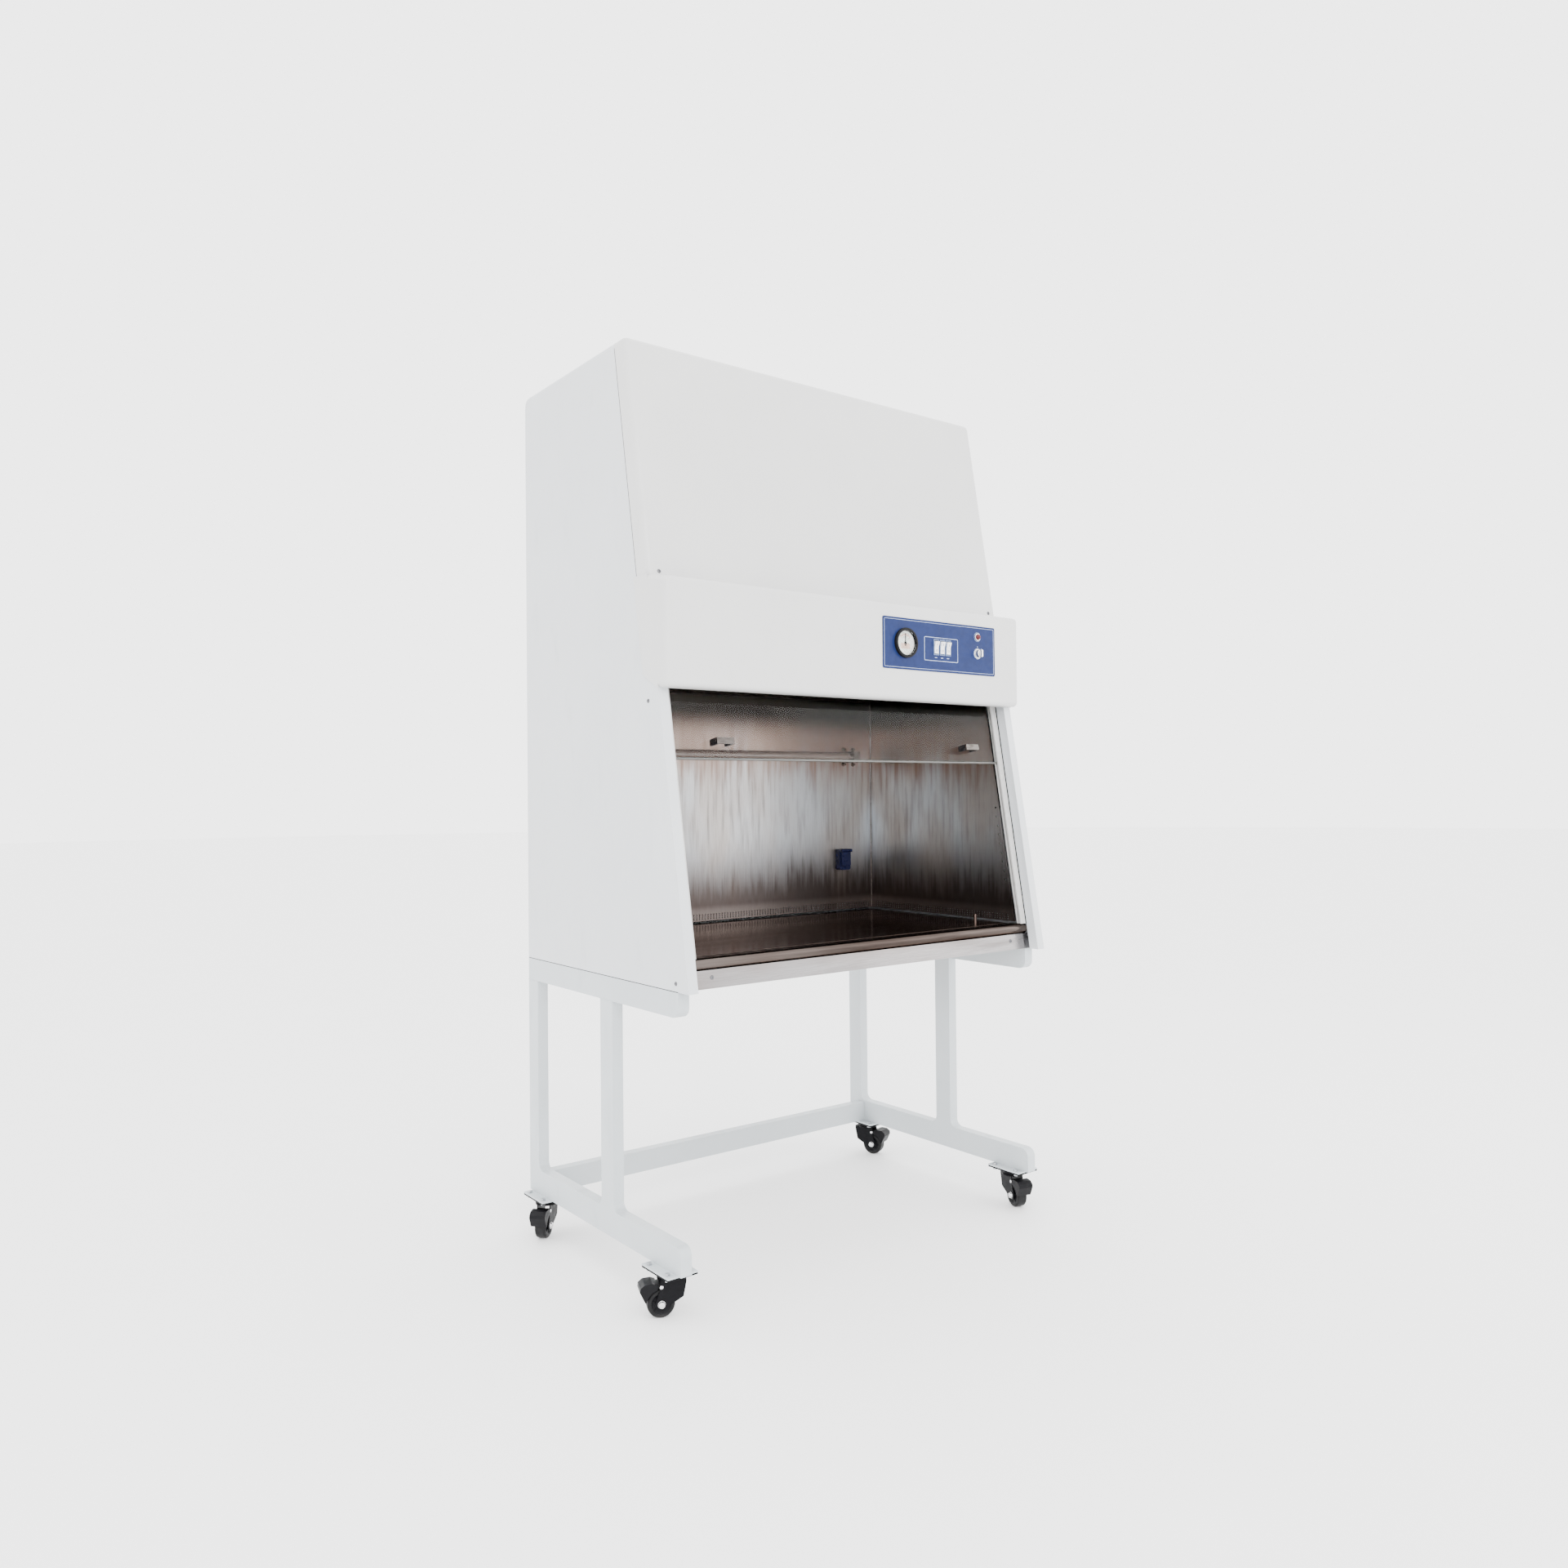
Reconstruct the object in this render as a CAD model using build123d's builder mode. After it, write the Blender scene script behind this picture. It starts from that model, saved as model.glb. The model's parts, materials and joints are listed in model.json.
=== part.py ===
from build123d import *
import os
from math import atan, cos, degrees, radians, sin

# Class II biosafety cabinet on a wheeled stand. Millimetres, +Z up, the operator stands at -Y.
# The origin lies on the floor, under the middle of the cabinet.

os.makedirs("parts", exist_ok=True)

# ---- Overall -------------------------------------------------------------------------------
width = 1200.0  # over the side panels
base_depth = 820.0  # of the body, where it sits on the stand
top_depth = 551.6  # of the body, at the roof
seat_height = 750.0  # floor to the top of the stand
body_height = 1562.0  # stand to roof
sheet = 2.0  # painted steel sheet
liner = 1.5  # stainless sheet of the work chamber
running_gap = 0.3  # between a sliding or turning piece and what it runs beside
bearing_gap = 0.05  # radial, between a shaft and its bore

# ---- Stand ---------------------------------------------------------------------------------
tube_width = 30.0
tube_wall = 2.0
beam_height = 60.0
foot_height = 65.0
front_post_depth = 60.0
rear_post_depth = 55.0
front_post_place = 440.0  # back of the stand to the middle of the front post
beam_setback = 45.0  # the top beam stops this far behind the body's lowest front edge
foot_setback = 43.0
nose_radius = 24.0
flare_radius = 22.0  # weld flares at the feet of the posts
rail_height = 60.0
rail_depth = 30.0
rail_inset = 40.0  # back of the stand to the back of the rails

# ---- Casters -------------------------------------------------------------------------------
caster_height = 105.0  # floor to the top of the caster's plate
plate_thickness = 4.0
plate_width = 80.0
plate_length = 115.0
bolt_spacing_x = 60.0
bolt_spacing_y = 80.0
bolt_radius = 4.0
bolt_clearance = 0.25
bolt_head_radius = 6.5
bolt_head_height = 5.0
front_caster_setback = 115.0  # body's lowest front edge to the swivel axis
rear_caster_setback = 70.0  # back of the body to the swivel axis
wheel_radius = 32.5
wheel_width = 30.0
wheel_edge_radius = 5.0
wheel_recess = 3.0
wheel_rim = 9.0  # of tread and rim around the side recess
hub_radius = 9.0
axle_radius = 4.5
axle_cap_radius = 8.0
axle_cap_height = 4.0
trail = 22.0  # of the axle behind the swivel axis
leg_gap = 1.5  # between the wheel and the fork's legs
leg_thickness = 2.5
leg_eye_radius = 14.0
leg_front = 36.0  # of the fork's legs ahead of the swivel axis
leg_back = 24.0
crown_radius = 30.0
crown_thickness = 3.0
race_radius = 26.0
race_height = 12.0  # of the ball race under the caster's plate
king_pin_radius = 6.0
king_head_radius = 9.0
king_head_height = 3.0
pedal_width = 44.0
pedal_pin_radius = 3.0
pedal_ear_radius = 6.0
pedal_drop = 14.0  # of the pedal's pivot under the crown
pedal_wheel_gap = 3.5
pedal_heel = 10.0  # pivot to the near end of the pedal's plate
pedal_reach = 50.0
pedal_fall = 31.0
pedal_climb = 11.0
front_left_heading = 158.0  # direction of the trail, in degrees from +X about +Z
front_right_heading = -107.0
rear_left_heading = -137.0
rear_right_heading = -67.0

# ---- Body shell ----------------------------------------------------------------------------
roof_bend_radius = 35.0
roof_drop = 60.0  # of the roof sheet down the back and the sides
roof_edge_radius = 16.0  # along the front and the sides of the top
roof_seam = 1.5  # open seam between the roof and the rear panel
hood_bend_radius = 18.0
hood_band = 48.0  # of the hood panel's returns along the sides
hood_bottom_rise = 910.0  # stand to the hood panel's lower edge, behind the console
jamb_width = 26.0  # front flange of each side panel
jamb_depth = 30.0
console_rise = 695.0  # stand to the console's underside
console_height = 256.0  # of its front
console_setback = 84.0  # body's lowest front edge to the console's front
console_top_rise = 15.0  # the console's top climbs this much towards the hood
console_side_radius = 16.0
console_edge_radius = 13.0
console_flange = 60.0  # of its sides along the body
console_flange_cut = 35.0  # of the flange's slanting lower edge
console_gap = 0.5  # between its flanges and the side panels

# ---- Work chamber --------------------------------------------------------------------------
chamber_width = 1100.0
work_rise = 71.0  # stand to the work surface
ceiling_rise = 745.0
wall_rise = 76.0  # stand to the lower edges of the liners
rear_duct = 139.0  # between the back baffle and the rear panel
guide_depth = 15.0
guide_lip = 22.0
guide_web = 2.0
wall_setback = 50.0  # sloping front to the liners' front edges
tray_gap = 8.0  # around the tray
tray_lip = 20.0
tray_thickness = 2.0
knob_radius = 5.0  # of the tray's two lift knobs
knob_height = 18.0
knob_inset = 17.0  # from the side edge of the tray
knob_setback = 110.0
grille_depth = 44.0  # front grille, from the nose to the tray
nose_setback = 28.0  # sloping front to the grille's rounded nose
nose_round = 14.0
nose_lip = 26.0  # of the sheet folded back under the nose
fascia_setback = 40.0
pan_lip = 25.0
hole_radius = 2.0
hole_pitch = 10.0
strip_rows = 3
strip_row_pitch = 6.0
strip_edge = 6.0
port_count = 9  # small holes near the front edge of each side liner
port_pitch = 26.0
port_rise = 194.0
port_setback = 64.0
port_radius = 3.0
slot_length = 30.0
slot_width = 5.0
slot_pitch = 40.0
slot_row_pitch = 16.0

# ---- Sash ----------------------------------------------------------------------------------
glass_thickness = 6.0
glass_setback = 38.5  # sloping front to the middle of the glass
glass_overlap = 16.0  # of the glass into each guide
sash_rise = 532.0  # stand to the sash's lower edge, at rest
sash_height = 652.0
handle_place = 424.0  # middle of the cabinet to the middle of a handle
handle_rise = 38.0  # sash's lower edge to the middle of a handle
handle_width = 50.0
handle_height = 16.0
handle_reach = 32.0
handle_leg = 8.0
handle_strap = 4.0
guide_top_rise = 1290.0
weight_setback = 85.0
weight_depth = 60.0
weight_height = 260.0
weight_rise = 400.0
pulley_rise = 1430.0
pulley_setback = 60.0
pulley_radius = 30.0
pulley_width = 12.0
pulley_inset = 22.0
shaft_radius = 6.0
boss_radius = 12.0
boss_length = 10.0

# ---- Filters and blower --------------------------------------------------------------------
filter_height = 90.0
filter_rim = 25.0
filter_front = 200.0  # middle of the cabinet to the supply filter's front
filter_back = 255.0
filter_side_gap = 5.0
media_recess = 6.0
pleat_pitch = 30.0
exhaust_width = 560.0
exhaust_depth = 360.0
exhaust_place = 150.0  # middle of the exhaust opening, behind the middle of the cabinet
exhaust_ledge = 20.0  # of the filter around the roof opening
grille_border = 20.0
grille_corner = 5.0
duct_spacing_x = 660.0
duct_spacing_y = 440.0
duct_hole_radius = 3.3
plenum_height = 103.0
plenum_wall_inset = 10.0
blower_place = 150.0
blower_rise = 213.0  # of the fan's axis above the plenum's deck
scroll_radius = 165.0
scroll_width = 240.0
outlet_length = 150.0
outlet_setback = 15.0  # fan's axis to the outlet's front wall
inlet_radius = 105.0
fan_radius = 130.0
fan_width = 200.0
blade_depth = 22.0
blade_thickness = 2.0
blade_count = 24
ring_thickness = 3.0
fan_hub_radius = 22.0
fan_hub_length = 20.0
motor_radius = 70.0
motor_shaft_radius = 10.0
motor_shaft_length = 34.0
motor_start = 14.0  # middle of the fan to the motor's near end
motor_arm_width = 24.0
motor_arm_thickness = 6.0
scroll_foot_width = 40.0
scroll_foot_place = 70.0
deck_margin = 20.0  # of the deck behind the blower's outlet

# ---- Lamps ---------------------------------------------------------------------------------
tube_radius = 13.0
tube_length = 895.0
holder_grip = 8.0  # of a lampholder over the end of its tube
holder_length = 26.0
holder_wall = 4.0
uv_rise = 566.0
uv_standoff = 30.0
work_lamp_setback = 75.0  # sloping front to the lamp, at the ceiling
work_lamp_drop = 20.0
stud_spacing_x = 40.0
stud_spacing_z = 48.0
stud_radius = 3.0
stud_length = 12.0

# ---- Socket --------------------------------------------------------------------------------
socket_place = 419.0
socket_rise = 237.0
socket_width = 44.0
socket_height = 66.0
socket_corner = 7.0  # lower corners, rounded
socket_depth = 22.0
socket_well_radius = 16.0
socket_well_depth = 14.0
cover_width = 38.0
cover_drop = 44.0
cover_thickness = 5.0
cover_pin_radius = 2.0
cover_knuckle_radius = 4.5
cover_ear = 3.0

# ---- Controls ------------------------------------------------------------------------------
panel_place = 282.5  # middle of the cabinet to the middle of the control plate
panel_rise = 846.5
panel_width = 430.0
panel_height = 138.0
panel_thickness = 2.0
panel_corner = 5.0
panel_overlap = 14.0
gauge_place = 148.5
gauge_rise = 848.5
gauge_radius = 40.0
gauge_bezel = 7.0
gauge_proud = 8.0
gauge_depth = 35.0
dial_recess = 9.0
lens_thickness = 2.0
needle_length = 26.0
needle_width = 2.4
needle_thickness = 1.0
needle_hub_radius = 4.0
spindle_radius = 1.5
spindle_length = 3.0
needle_tail = 8.0
switch_place = 286.0
switch_rise = 845.0
switch_count = 3
switch_pitch = 23.0
switch_width = 20.0
switch_height = 44.0
switch_depth = 22.0
switch_rim = 2.0
rocker_tilt = 9.0
rocker_width = 14.0
rocker_height = 33.0
rocker_front = 6.0
rocker_waist = 3.5
rocker_pin_radius = 1.5
rocker_end_gap = 1.9  # so that its ends can swing
control_place = 427.0  # middle of the cabinet to the indicator and the key switch
indicator_rise = 885.0
indicator_radius = 8.0
indicator_flange = 2.0
indicator_depth = 24.0
key_rise = 838.0
key_radius = 11.0
key_shaft_radius = 6.0
key_proud = 12.0
key_depth = 24.0
key_edge_radius = 2.0
key_slot_width = 2.0

# ---- Fasteners and power inlet -------------------------------------------------------------
screw_radius = 5.0
screw_height = 2.0
screw_setback = 50.0  # sloping front to the side screws
upper_screw_rise = 667.0
lower_screw_rise = 19.0
hood_screw_rise = 976.0
hood_screw_inset = 34.0
fascia_screw_place = 508.0
fascia_screw_rise = 25.0
inlet_place = 480.0
inlet_rise = 90.0
inlet_width = 28.0
inlet_height = 48.0
inlet_flange = 5.0
inlet_flange_thickness = 2.0
inlet_depth = 24.0
inlet_recess = 16.0
inlet_pin_radius = 2.0
inlet_pin_spacing = 7.0

# ---- Worked out from these -----------------------------------------------------------------
half = width / 2
front = -base_depth / 2
back = base_depth / 2
top = seat_height + body_height
slope = (base_depth - top_depth) / body_height
lean = degrees(atan(slope))
pad_top = caster_height + plate_thickness
foot_top = pad_top + foot_height
plate_bottom = caster_height - plate_thickness
crown_top = plate_bottom - race_height
crown_bottom = crown_top - crown_thickness
roof_under = top - sheet
roof_low = top - roof_drop
console_bottom = seat_height + console_rise
console_top = console_bottom + console_height
console_front = front + console_setback
hood_bottom = seat_height + hood_bottom_rise
work_z = seat_height + work_rise
wall_bottom = seat_height + wall_rise
ceiling = seat_height + ceiling_rise
inner = chamber_width / 2
baffle = back - sheet - rear_duct
plate_front = console_front - panel_thickness
guide_setback = jamb_depth + running_gap
sides = {"left": -1, "right": 1}
across = Vector(1, 0, 0)
up_slope = Vector(0, sin(radians(lean)), cos(radians(lean)))
off_slope = Vector(0, -cos(radians(lean)), sin(radians(lean)))


def face_y(z, behind=0.0):
    """Y of the sloping front at height z, or of a line that lies this far behind it."""
    return front + (z - seat_height) * slope + behind


def prism(points, x_a, x_b, mode=Mode.ADD):
    """Extrude a closed outline of (y, z) points from x_a to x_b."""
    with BuildSketch(Plane.YZ.offset(min(x_a, x_b))) as outline:
        Polygon(*points)
    extrude(outline.sketch, amount=abs(x_b - x_a), mode=mode)


def strip(z_low, z_high, behind_a, behind_b, x_a, x_b, mode=Mode.ADD):
    """A slanting bar, parallel to the sloping front, between two depths behind it."""
    points = [
        (face_y(z_low, behind_a), z_low),
        (face_y(z_low, behind_b), z_low),
        (face_y(z_high, behind_b), z_high),
        (face_y(z_high, behind_a), z_high),
    ]
    prism(points, x_a, x_b, mode)


def block(low, high, mode=Mode.ADD):
    """An upright box between two corners."""
    centre = [(a + b) / 2 for a, b in zip(low, high)]
    length, depth, height = [b - a for a, b in zip(low, high)]
    with Locations(tuple(centre)):
        Box(length, depth, height, mode=mode)


def rod(start, direction, radius, length, mode=Mode.ADD):
    """A cylinder from a point along a direction."""
    with BuildSketch(Plane(origin=start, z_dir=direction)) as section:
        Circle(radius)
    extrude(section.sketch, amount=length, mode=mode)


def save(name, *pieces):
    """Write one node. Several pieces stay separate solids of one group."""
    part = pieces[0].part
    if len(pieces) > 1:
        part = Compound(children=[piece.part for piece in pieces])
    part.label = name
    export_step(part, f"parts/{name}.step")


# ---- Stand ---------------------------------------------------------------------------------
def nosed_tube(x_low, y_front, z_low, z_high, rounded):
    """A tube along Y, open at the back, its front end closed and rounded (0 below, -1 above)."""
    for inset, mode in ((0.0, Mode.ADD), (tube_wall, Mode.SUBTRACT)):
        with BuildSketch(Plane.YZ.offset(x_low + inset)) as outline:
            low, high = z_low + inset, z_high - inset
            Polygon((y_front + inset, low), (back, low), (back, high), (y_front + inset, high))
            corner = outline.vertices().group_by(Axis.X)[0].sort_by(Axis.Y)[rounded]
            fillet(corner, nose_radius - inset)
        extrude(outline.sketch, amount=tube_width - 2 * inset, mode=mode)


def post(x_low, y_low, depth):
    """An upright tube between the foot and the top beam, flared at its foot, open at both ends."""
    beam_bottom = seat_height - beam_height
    y_high = y_low + depth
    with BuildSketch(Plane.YZ.offset(x_low)) as outline:
        flare_back = min(y_high + flare_radius, back)
        flare_top = foot_top + flare_radius
        Polygon((y_low, foot_top), (y_high, foot_top), (y_high, beam_bottom), (y_low, beam_bottom))
        Polygon(
            (y_low - flare_radius, foot_top),
            (flare_back, foot_top),
            (flare_back, flare_top),
            (y_low - flare_radius, flare_top),
        )
        with Locations((y_low - flare_radius, flare_top), (y_high + flare_radius, flare_top)):
            Circle(flare_radius, mode=Mode.SUBTRACT)
    extrude(outline.sketch, amount=tube_width)
    block(
        (x_low + tube_wall, y_low + tube_wall, foot_top),
        (x_low + tube_width - tube_wall, y_high - tube_wall, beam_bottom),
        Mode.SUBTRACT,
    )


caster_places = {
    "front_left": (-1, front + front_caster_setback, front_left_heading),
    "front_right": (1, front + front_caster_setback, front_right_heading),
    "rear_left": (-1, back - rear_caster_setback, rear_left_heading),
    "rear_right": (1, back - rear_caster_setback, rear_right_heading),
}
caster_x = half - tube_width / 2

for side, sign in sides.items():
    x_low = half - tube_width if sign > 0 else -half
    front_post_y = back - front_post_place - front_post_depth / 2
    with BuildPart() as top_beam:
        nosed_tube(x_low, front + beam_setback, seat_height - beam_height, seat_height, 0)
    with BuildPart() as foot_beam:
        nosed_tube(x_low, front + foot_setback, pad_top, foot_top, -1)
    with BuildPart() as front_post:
        post(x_low, front_post_y, front_post_depth)
    with BuildPart() as rear_post:
        post(x_low, back - rear_post_depth, rear_post_depth)
    with BuildPart() as pads:
        for place_sign, y, heading in caster_places.values():
            if place_sign == sign:
                low = (sign * caster_x - plate_width / 2, y - plate_length / 2, caster_height)
                high = (sign * caster_x + plate_width / 2, y + plate_length / 2, pad_top)
                block(low, high)
                with Locations((sign * caster_x, y, pad_top)):
                    with GridLocations(bolt_spacing_x, bolt_spacing_y, 2, 2):
                        Hole(bolt_radius + bolt_clearance, plate_thickness)
    save(f"stand_frame_{side}", top_beam, foot_beam, front_post, rear_post, pads)

rail_end = half - tube_width
rail_back = back - rail_inset
with BuildPart() as cross_rails:
    for rail_bottom in (pad_top, seat_height - rail_height):
        block(
            (-rail_end, rail_back - rail_depth, rail_bottom),
            (rail_end, rail_back, rail_bottom + rail_height),
        )
        block(
            (-rail_end, rail_back - rail_depth + tube_wall, rail_bottom + tube_wall),
            (rail_end, rail_back - tube_wall, rail_bottom + rail_height - tube_wall),
            Mode.SUBTRACT,
        )
save("cross_rails", cross_rails)


# ---- Casters -------------------------------------------------------------------------------
leg_inner = wheel_width / 2 + leg_gap
leg_outer = leg_inner + leg_thickness
pedal_pivot = (trail, crown_bottom - pedal_drop)

with BuildPart() as caster_plates:
    for sign, y, heading in caster_places.values():
        x = sign * caster_x
        block(
            (x - plate_width / 2, y - plate_length / 2, plate_bottom),
            (x + plate_width / 2, y + plate_length / 2, caster_height),
        )
        with Locations((x, y, caster_height)):
            with GridLocations(bolt_spacing_x, bolt_spacing_y, 2, 2):
                Hole(bolt_radius + bolt_clearance, plate_thickness)
        head_top = crown_bottom - running_gap
        rod((x, y, plate_bottom), (0, 0, -1), king_pin_radius, plate_bottom - head_top)
        rod((x, y, head_top), (0, 0, -1), king_head_radius, king_head_height)
save("caster_plates", caster_plates)

with BuildPart() as caster_bolts:
    for sign, y, heading in caster_places.values():
        for dx in (-bolt_spacing_x / 2, bolt_spacing_x / 2):
            for dy in (-bolt_spacing_y / 2, bolt_spacing_y / 2):
                spot = (sign * caster_x + dx, y + dy)
                rod((*spot, plate_bottom), (0, 0, 1), bolt_radius, 2 * plate_thickness)
                for z, way in ((plate_bottom, -1), (pad_top, 1)):
                    with BuildSketch(Plane.XY.offset(z)):
                        with Locations(spot):
                            RegularPolygon(bolt_head_radius, 6)
                    extrude(amount=way * bolt_head_height)
save("caster_bolts", caster_bolts)

for name, (sign, y, heading) in caster_places.items():
    x = sign * caster_x
    along = Vector(cos(radians(heading)), sin(radians(heading)), 0)
    axle = Vector(along.Y, -along.X, 0)
    side_view = Plane(origin=(x, y, 0), x_dir=along, z_dir=axle)
    hub_end = leg_inner - running_gap

    with BuildPart() as fork:
        for start in (leg_inner, -leg_outer):
            with BuildSketch(side_view.offset(start)):
                Polygon(
                    (-leg_front, crown_top),
                    (-leg_front, crown_bottom - 2 * crown_thickness),
                    (-leg_front + leg_eye_radius / 2, wheel_radius + leg_eye_radius),
                    (trail, wheel_radius - leg_eye_radius),
                    (trail + leg_eye_radius, wheel_radius),
                    (leg_back, crown_bottom - pedal_drop),
                    (leg_back, crown_top),
                )
                with Locations((trail, wheel_radius)):
                    Circle(leg_eye_radius)
            extrude(amount=leg_thickness)
        for start in (leg_outer, -leg_outer - axle_cap_height):
            with BuildSketch(side_view.offset(start)):
                with Locations((trail, wheel_radius)):
                    Circle(axle_cap_radius)
            extrude(amount=axle_cap_height)
        for point, radius in (((trail, wheel_radius), axle_radius), (pedal_pivot, pedal_pin_radius)):
            with BuildSketch(side_view.offset(-leg_inner)):
                with Locations(point):
                    Circle(radius)
            extrude(amount=2 * leg_inner)
        with BuildSketch(side_view.offset(-leg_outer)):
            Polygon(
                (-leg_front, crown_bottom),
                (leg_back, crown_bottom),
                (leg_back, crown_top),
                (-leg_front, crown_top),
            )
        extrude(amount=2 * leg_outer)
        rod((x, y, crown_bottom), (0, 0, 1), crown_radius, crown_thickness)
        rod((x, y, crown_top), (0, 0, 1), race_radius, race_height - running_gap)
        bore = king_pin_radius + bearing_gap
        rod((x, y, crown_bottom), (0, 0, 1), bore, plate_bottom - crown_bottom, Mode.SUBTRACT)
    save(f"caster_fork_{name}", fork)

    with BuildPart() as wheel:
        with BuildSketch(side_view.offset(-wheel_width / 2)):
            with Locations((trail, wheel_radius)):
                Circle(wheel_radius)
        extrude(amount=wheel_width)
        fillet(wheel.edges().filter_by(GeomType.CIRCLE), wheel_edge_radius)
        for start in (-wheel_width / 2, wheel_width / 2 - wheel_recess):
            with BuildSketch(side_view.offset(start)):
                with Locations((trail, wheel_radius)):
                    Circle(wheel_radius - wheel_rim)
                    Circle(hub_radius, mode=Mode.SUBTRACT)
            extrude(amount=wheel_recess, mode=Mode.SUBTRACT)
        with BuildSketch(side_view.offset(-hub_end)):
            with Locations((trail, wheel_radius)):
                Circle(hub_radius)
        extrude(amount=2 * hub_end)
        with BuildSketch(side_view.offset(-hub_end)):
            with Locations((trail, wheel_radius)):
                Circle(axle_radius + bearing_gap)
        extrude(amount=2 * hub_end, mode=Mode.SUBTRACT)
    save(f"caster_wheel_{name}", wheel)

    ear_half = leg_inner - leg_gap
    with BuildPart() as pedal:
        with BuildSketch(side_view.offset(-pedal_width / 2)):
            with Locations(pedal_pivot):
                Polygon(
                    (pedal_heel, -0.45 * pedal_fall),
                    (pedal_reach / 2, -pedal_fall),
                    (0.76 * pedal_reach, -pedal_fall),
                    (pedal_reach, -0.2 * pedal_fall),
                    (0.98 * pedal_reach, 0.2 * pedal_climb),
                    (0.78 * pedal_reach, 0.9 * pedal_climb),
                    (0.42 * pedal_reach, pedal_climb),
                    (pedal_heel, 0.64 * pedal_climb),
                )
            with Locations((trail, wheel_radius)):
                Circle(wheel_radius + pedal_wheel_gap, mode=Mode.SUBTRACT)
        extrude(amount=pedal_width)
        with BuildSketch(side_view.offset(-ear_half)):
            with Locations(pedal_pivot):
                Circle(pedal_ear_radius)
                Polygon(
                    (0, -pedal_ear_radius / 2),
                    (1.2 * pedal_heel, -pedal_ear_radius / 2),
                    (1.2 * pedal_heel, pedal_ear_radius),
                    (0, pedal_ear_radius),
                )
            with Locations((trail, wheel_radius)):
                Circle(wheel_radius + pedal_wheel_gap, mode=Mode.SUBTRACT)
        extrude(amount=2 * ear_half)
        with BuildSketch(side_view.offset(-ear_half)):
            with Locations(pedal_pivot):
                Circle(pedal_pin_radius + bearing_gap)
        extrude(amount=2 * ear_half, mode=Mode.SUBTRACT)
    save(f"brake_pedal_{name}", pedal)


# ---- Body shell ----------------------------------------------------------------------------
hood_joint = console_bottom + console_flange_cut
pulley_z = seat_height + pulley_rise
pulley_y = face_y(pulley_z, pulley_setback)

for side, sign in sides.items():
    outer_x = sign * half
    skin_x = sign * (half - sheet)
    with BuildPart() as side_panel:
        with BuildSketch(Plane.YZ.offset(min(outer_x, skin_x))) as outline:
            Polygon(
                (back - sheet, seat_height),
                (face_y(seat_height), seat_height),
                (face_y(hood_joint), hood_joint),
                (face_y(hood_joint, hood_band), hood_joint),
                (face_y(roof_low, hood_band), roof_low),
                (back - sheet, roof_low),
            )
        extrude(outline.sketch, amount=sheet)
        jamb_x = sign * (half - jamb_width)
        strip(seat_height, hood_joint, 0, sheet, skin_x, jamb_x)
        strip(seat_height, hood_joint, 0, jamb_depth, jamb_x, jamb_x + sign * sheet)
        rod((skin_x, pulley_y, pulley_z), (-sign, 0, 0), boss_radius, boss_length)
        bore = shaft_radius + bearing_gap
        rod((skin_x, pulley_y, pulley_z), (-sign, 0, 0), bore, boss_length, Mode.SUBTRACT)
    save(f"side_panel_{side}", side_panel)

inlet_z = seat_height + inlet_rise
with BuildPart() as rear_panel:
    block((-half, back - sheet, seat_height), (half, back, roof_low - roof_seam))
    block(
        (inlet_place - inlet_width / 2, back - sheet, inlet_z - inlet_height / 2),
        (inlet_place + inlet_width / 2, back, inlet_z + inlet_height / 2),
        Mode.SUBTRACT,
    )
save("rear_panel", rear_panel)

opening_x = exhaust_width / 2 - exhaust_ledge
opening_y = exhaust_depth / 2 - exhaust_ledge
with BuildPart() as roof_panel:
    with BuildSketch(Plane.YZ.offset(-half)) as back_fold:
        Polygon(
            (face_y(top, hood_band), top),
            (back, top),
            (back, roof_low),
            (back - sheet, roof_low),
            (back - sheet, roof_under),
            (face_y(roof_under, hood_band), roof_under),
        )
        fillet(back_fold.vertices().group_by(Axis.X)[-1].sort_by(Axis.Y)[-1], roof_bend_radius)
        inner_corner = back_fold.vertices().group_by(Axis.X)[-2].sort_by(Axis.Y)[-1]
        fillet(inner_corner, roof_bend_radius - sheet)
    extrude(back_fold.sketch, amount=width)
    with BuildSketch(Plane.XZ.offset(-back)) as side_folds:
        Polygon((-half, roof_low), (half, roof_low), (half, top), (-half, top))
        fillet(side_folds.vertices().group_by(Axis.Y)[-1], roof_edge_radius)
        under_x = half - sheet
        with BuildSketch(mode=Mode.SUBTRACT) as hollow:
            Polygon(
                (-under_x, roof_low), (under_x, roof_low), (under_x, roof_under), (-under_x, roof_under)
            )
            fillet(hollow.vertices().group_by(Axis.Y)[-1], roof_edge_radius - sheet)
    extrude(side_folds.sketch, amount=base_depth)
    with BuildSketch(Plane.YZ.offset(-half)) as side_outline:
        Polygon(
            (face_y(roof_low, hood_band), roof_low),
            (back, roof_low),
            (back, top),
            (face_y(top, hood_band), top),
        )
        fillet(side_outline.vertices().group_by(Axis.X)[-1].sort_by(Axis.Y)[-1], roof_bend_radius)
    extrude(side_outline.sketch, amount=width, mode=Mode.INTERSECT)
    with BuildSketch(Plane.XZ.offset(-back)) as back_outline:
        Polygon((-half, roof_low), (half, roof_low), (half, top), (-half, top))
        fillet(back_outline.vertices().group_by(Axis.Y)[-1], roof_edge_radius)
    extrude(back_outline.sketch, amount=base_depth, mode=Mode.INTERSECT)
    block(
        (-opening_x, exhaust_place - opening_y, roof_under),
        (opening_x, exhaust_place + opening_y, top),
        Mode.SUBTRACT,
    )
    with Locations((0, exhaust_place, top)):
        with GridLocations(duct_spacing_x, duct_spacing_y, 2, 2):
            Hole(duct_hole_radius, sheet)
save("roof_panel", roof_panel)

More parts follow.
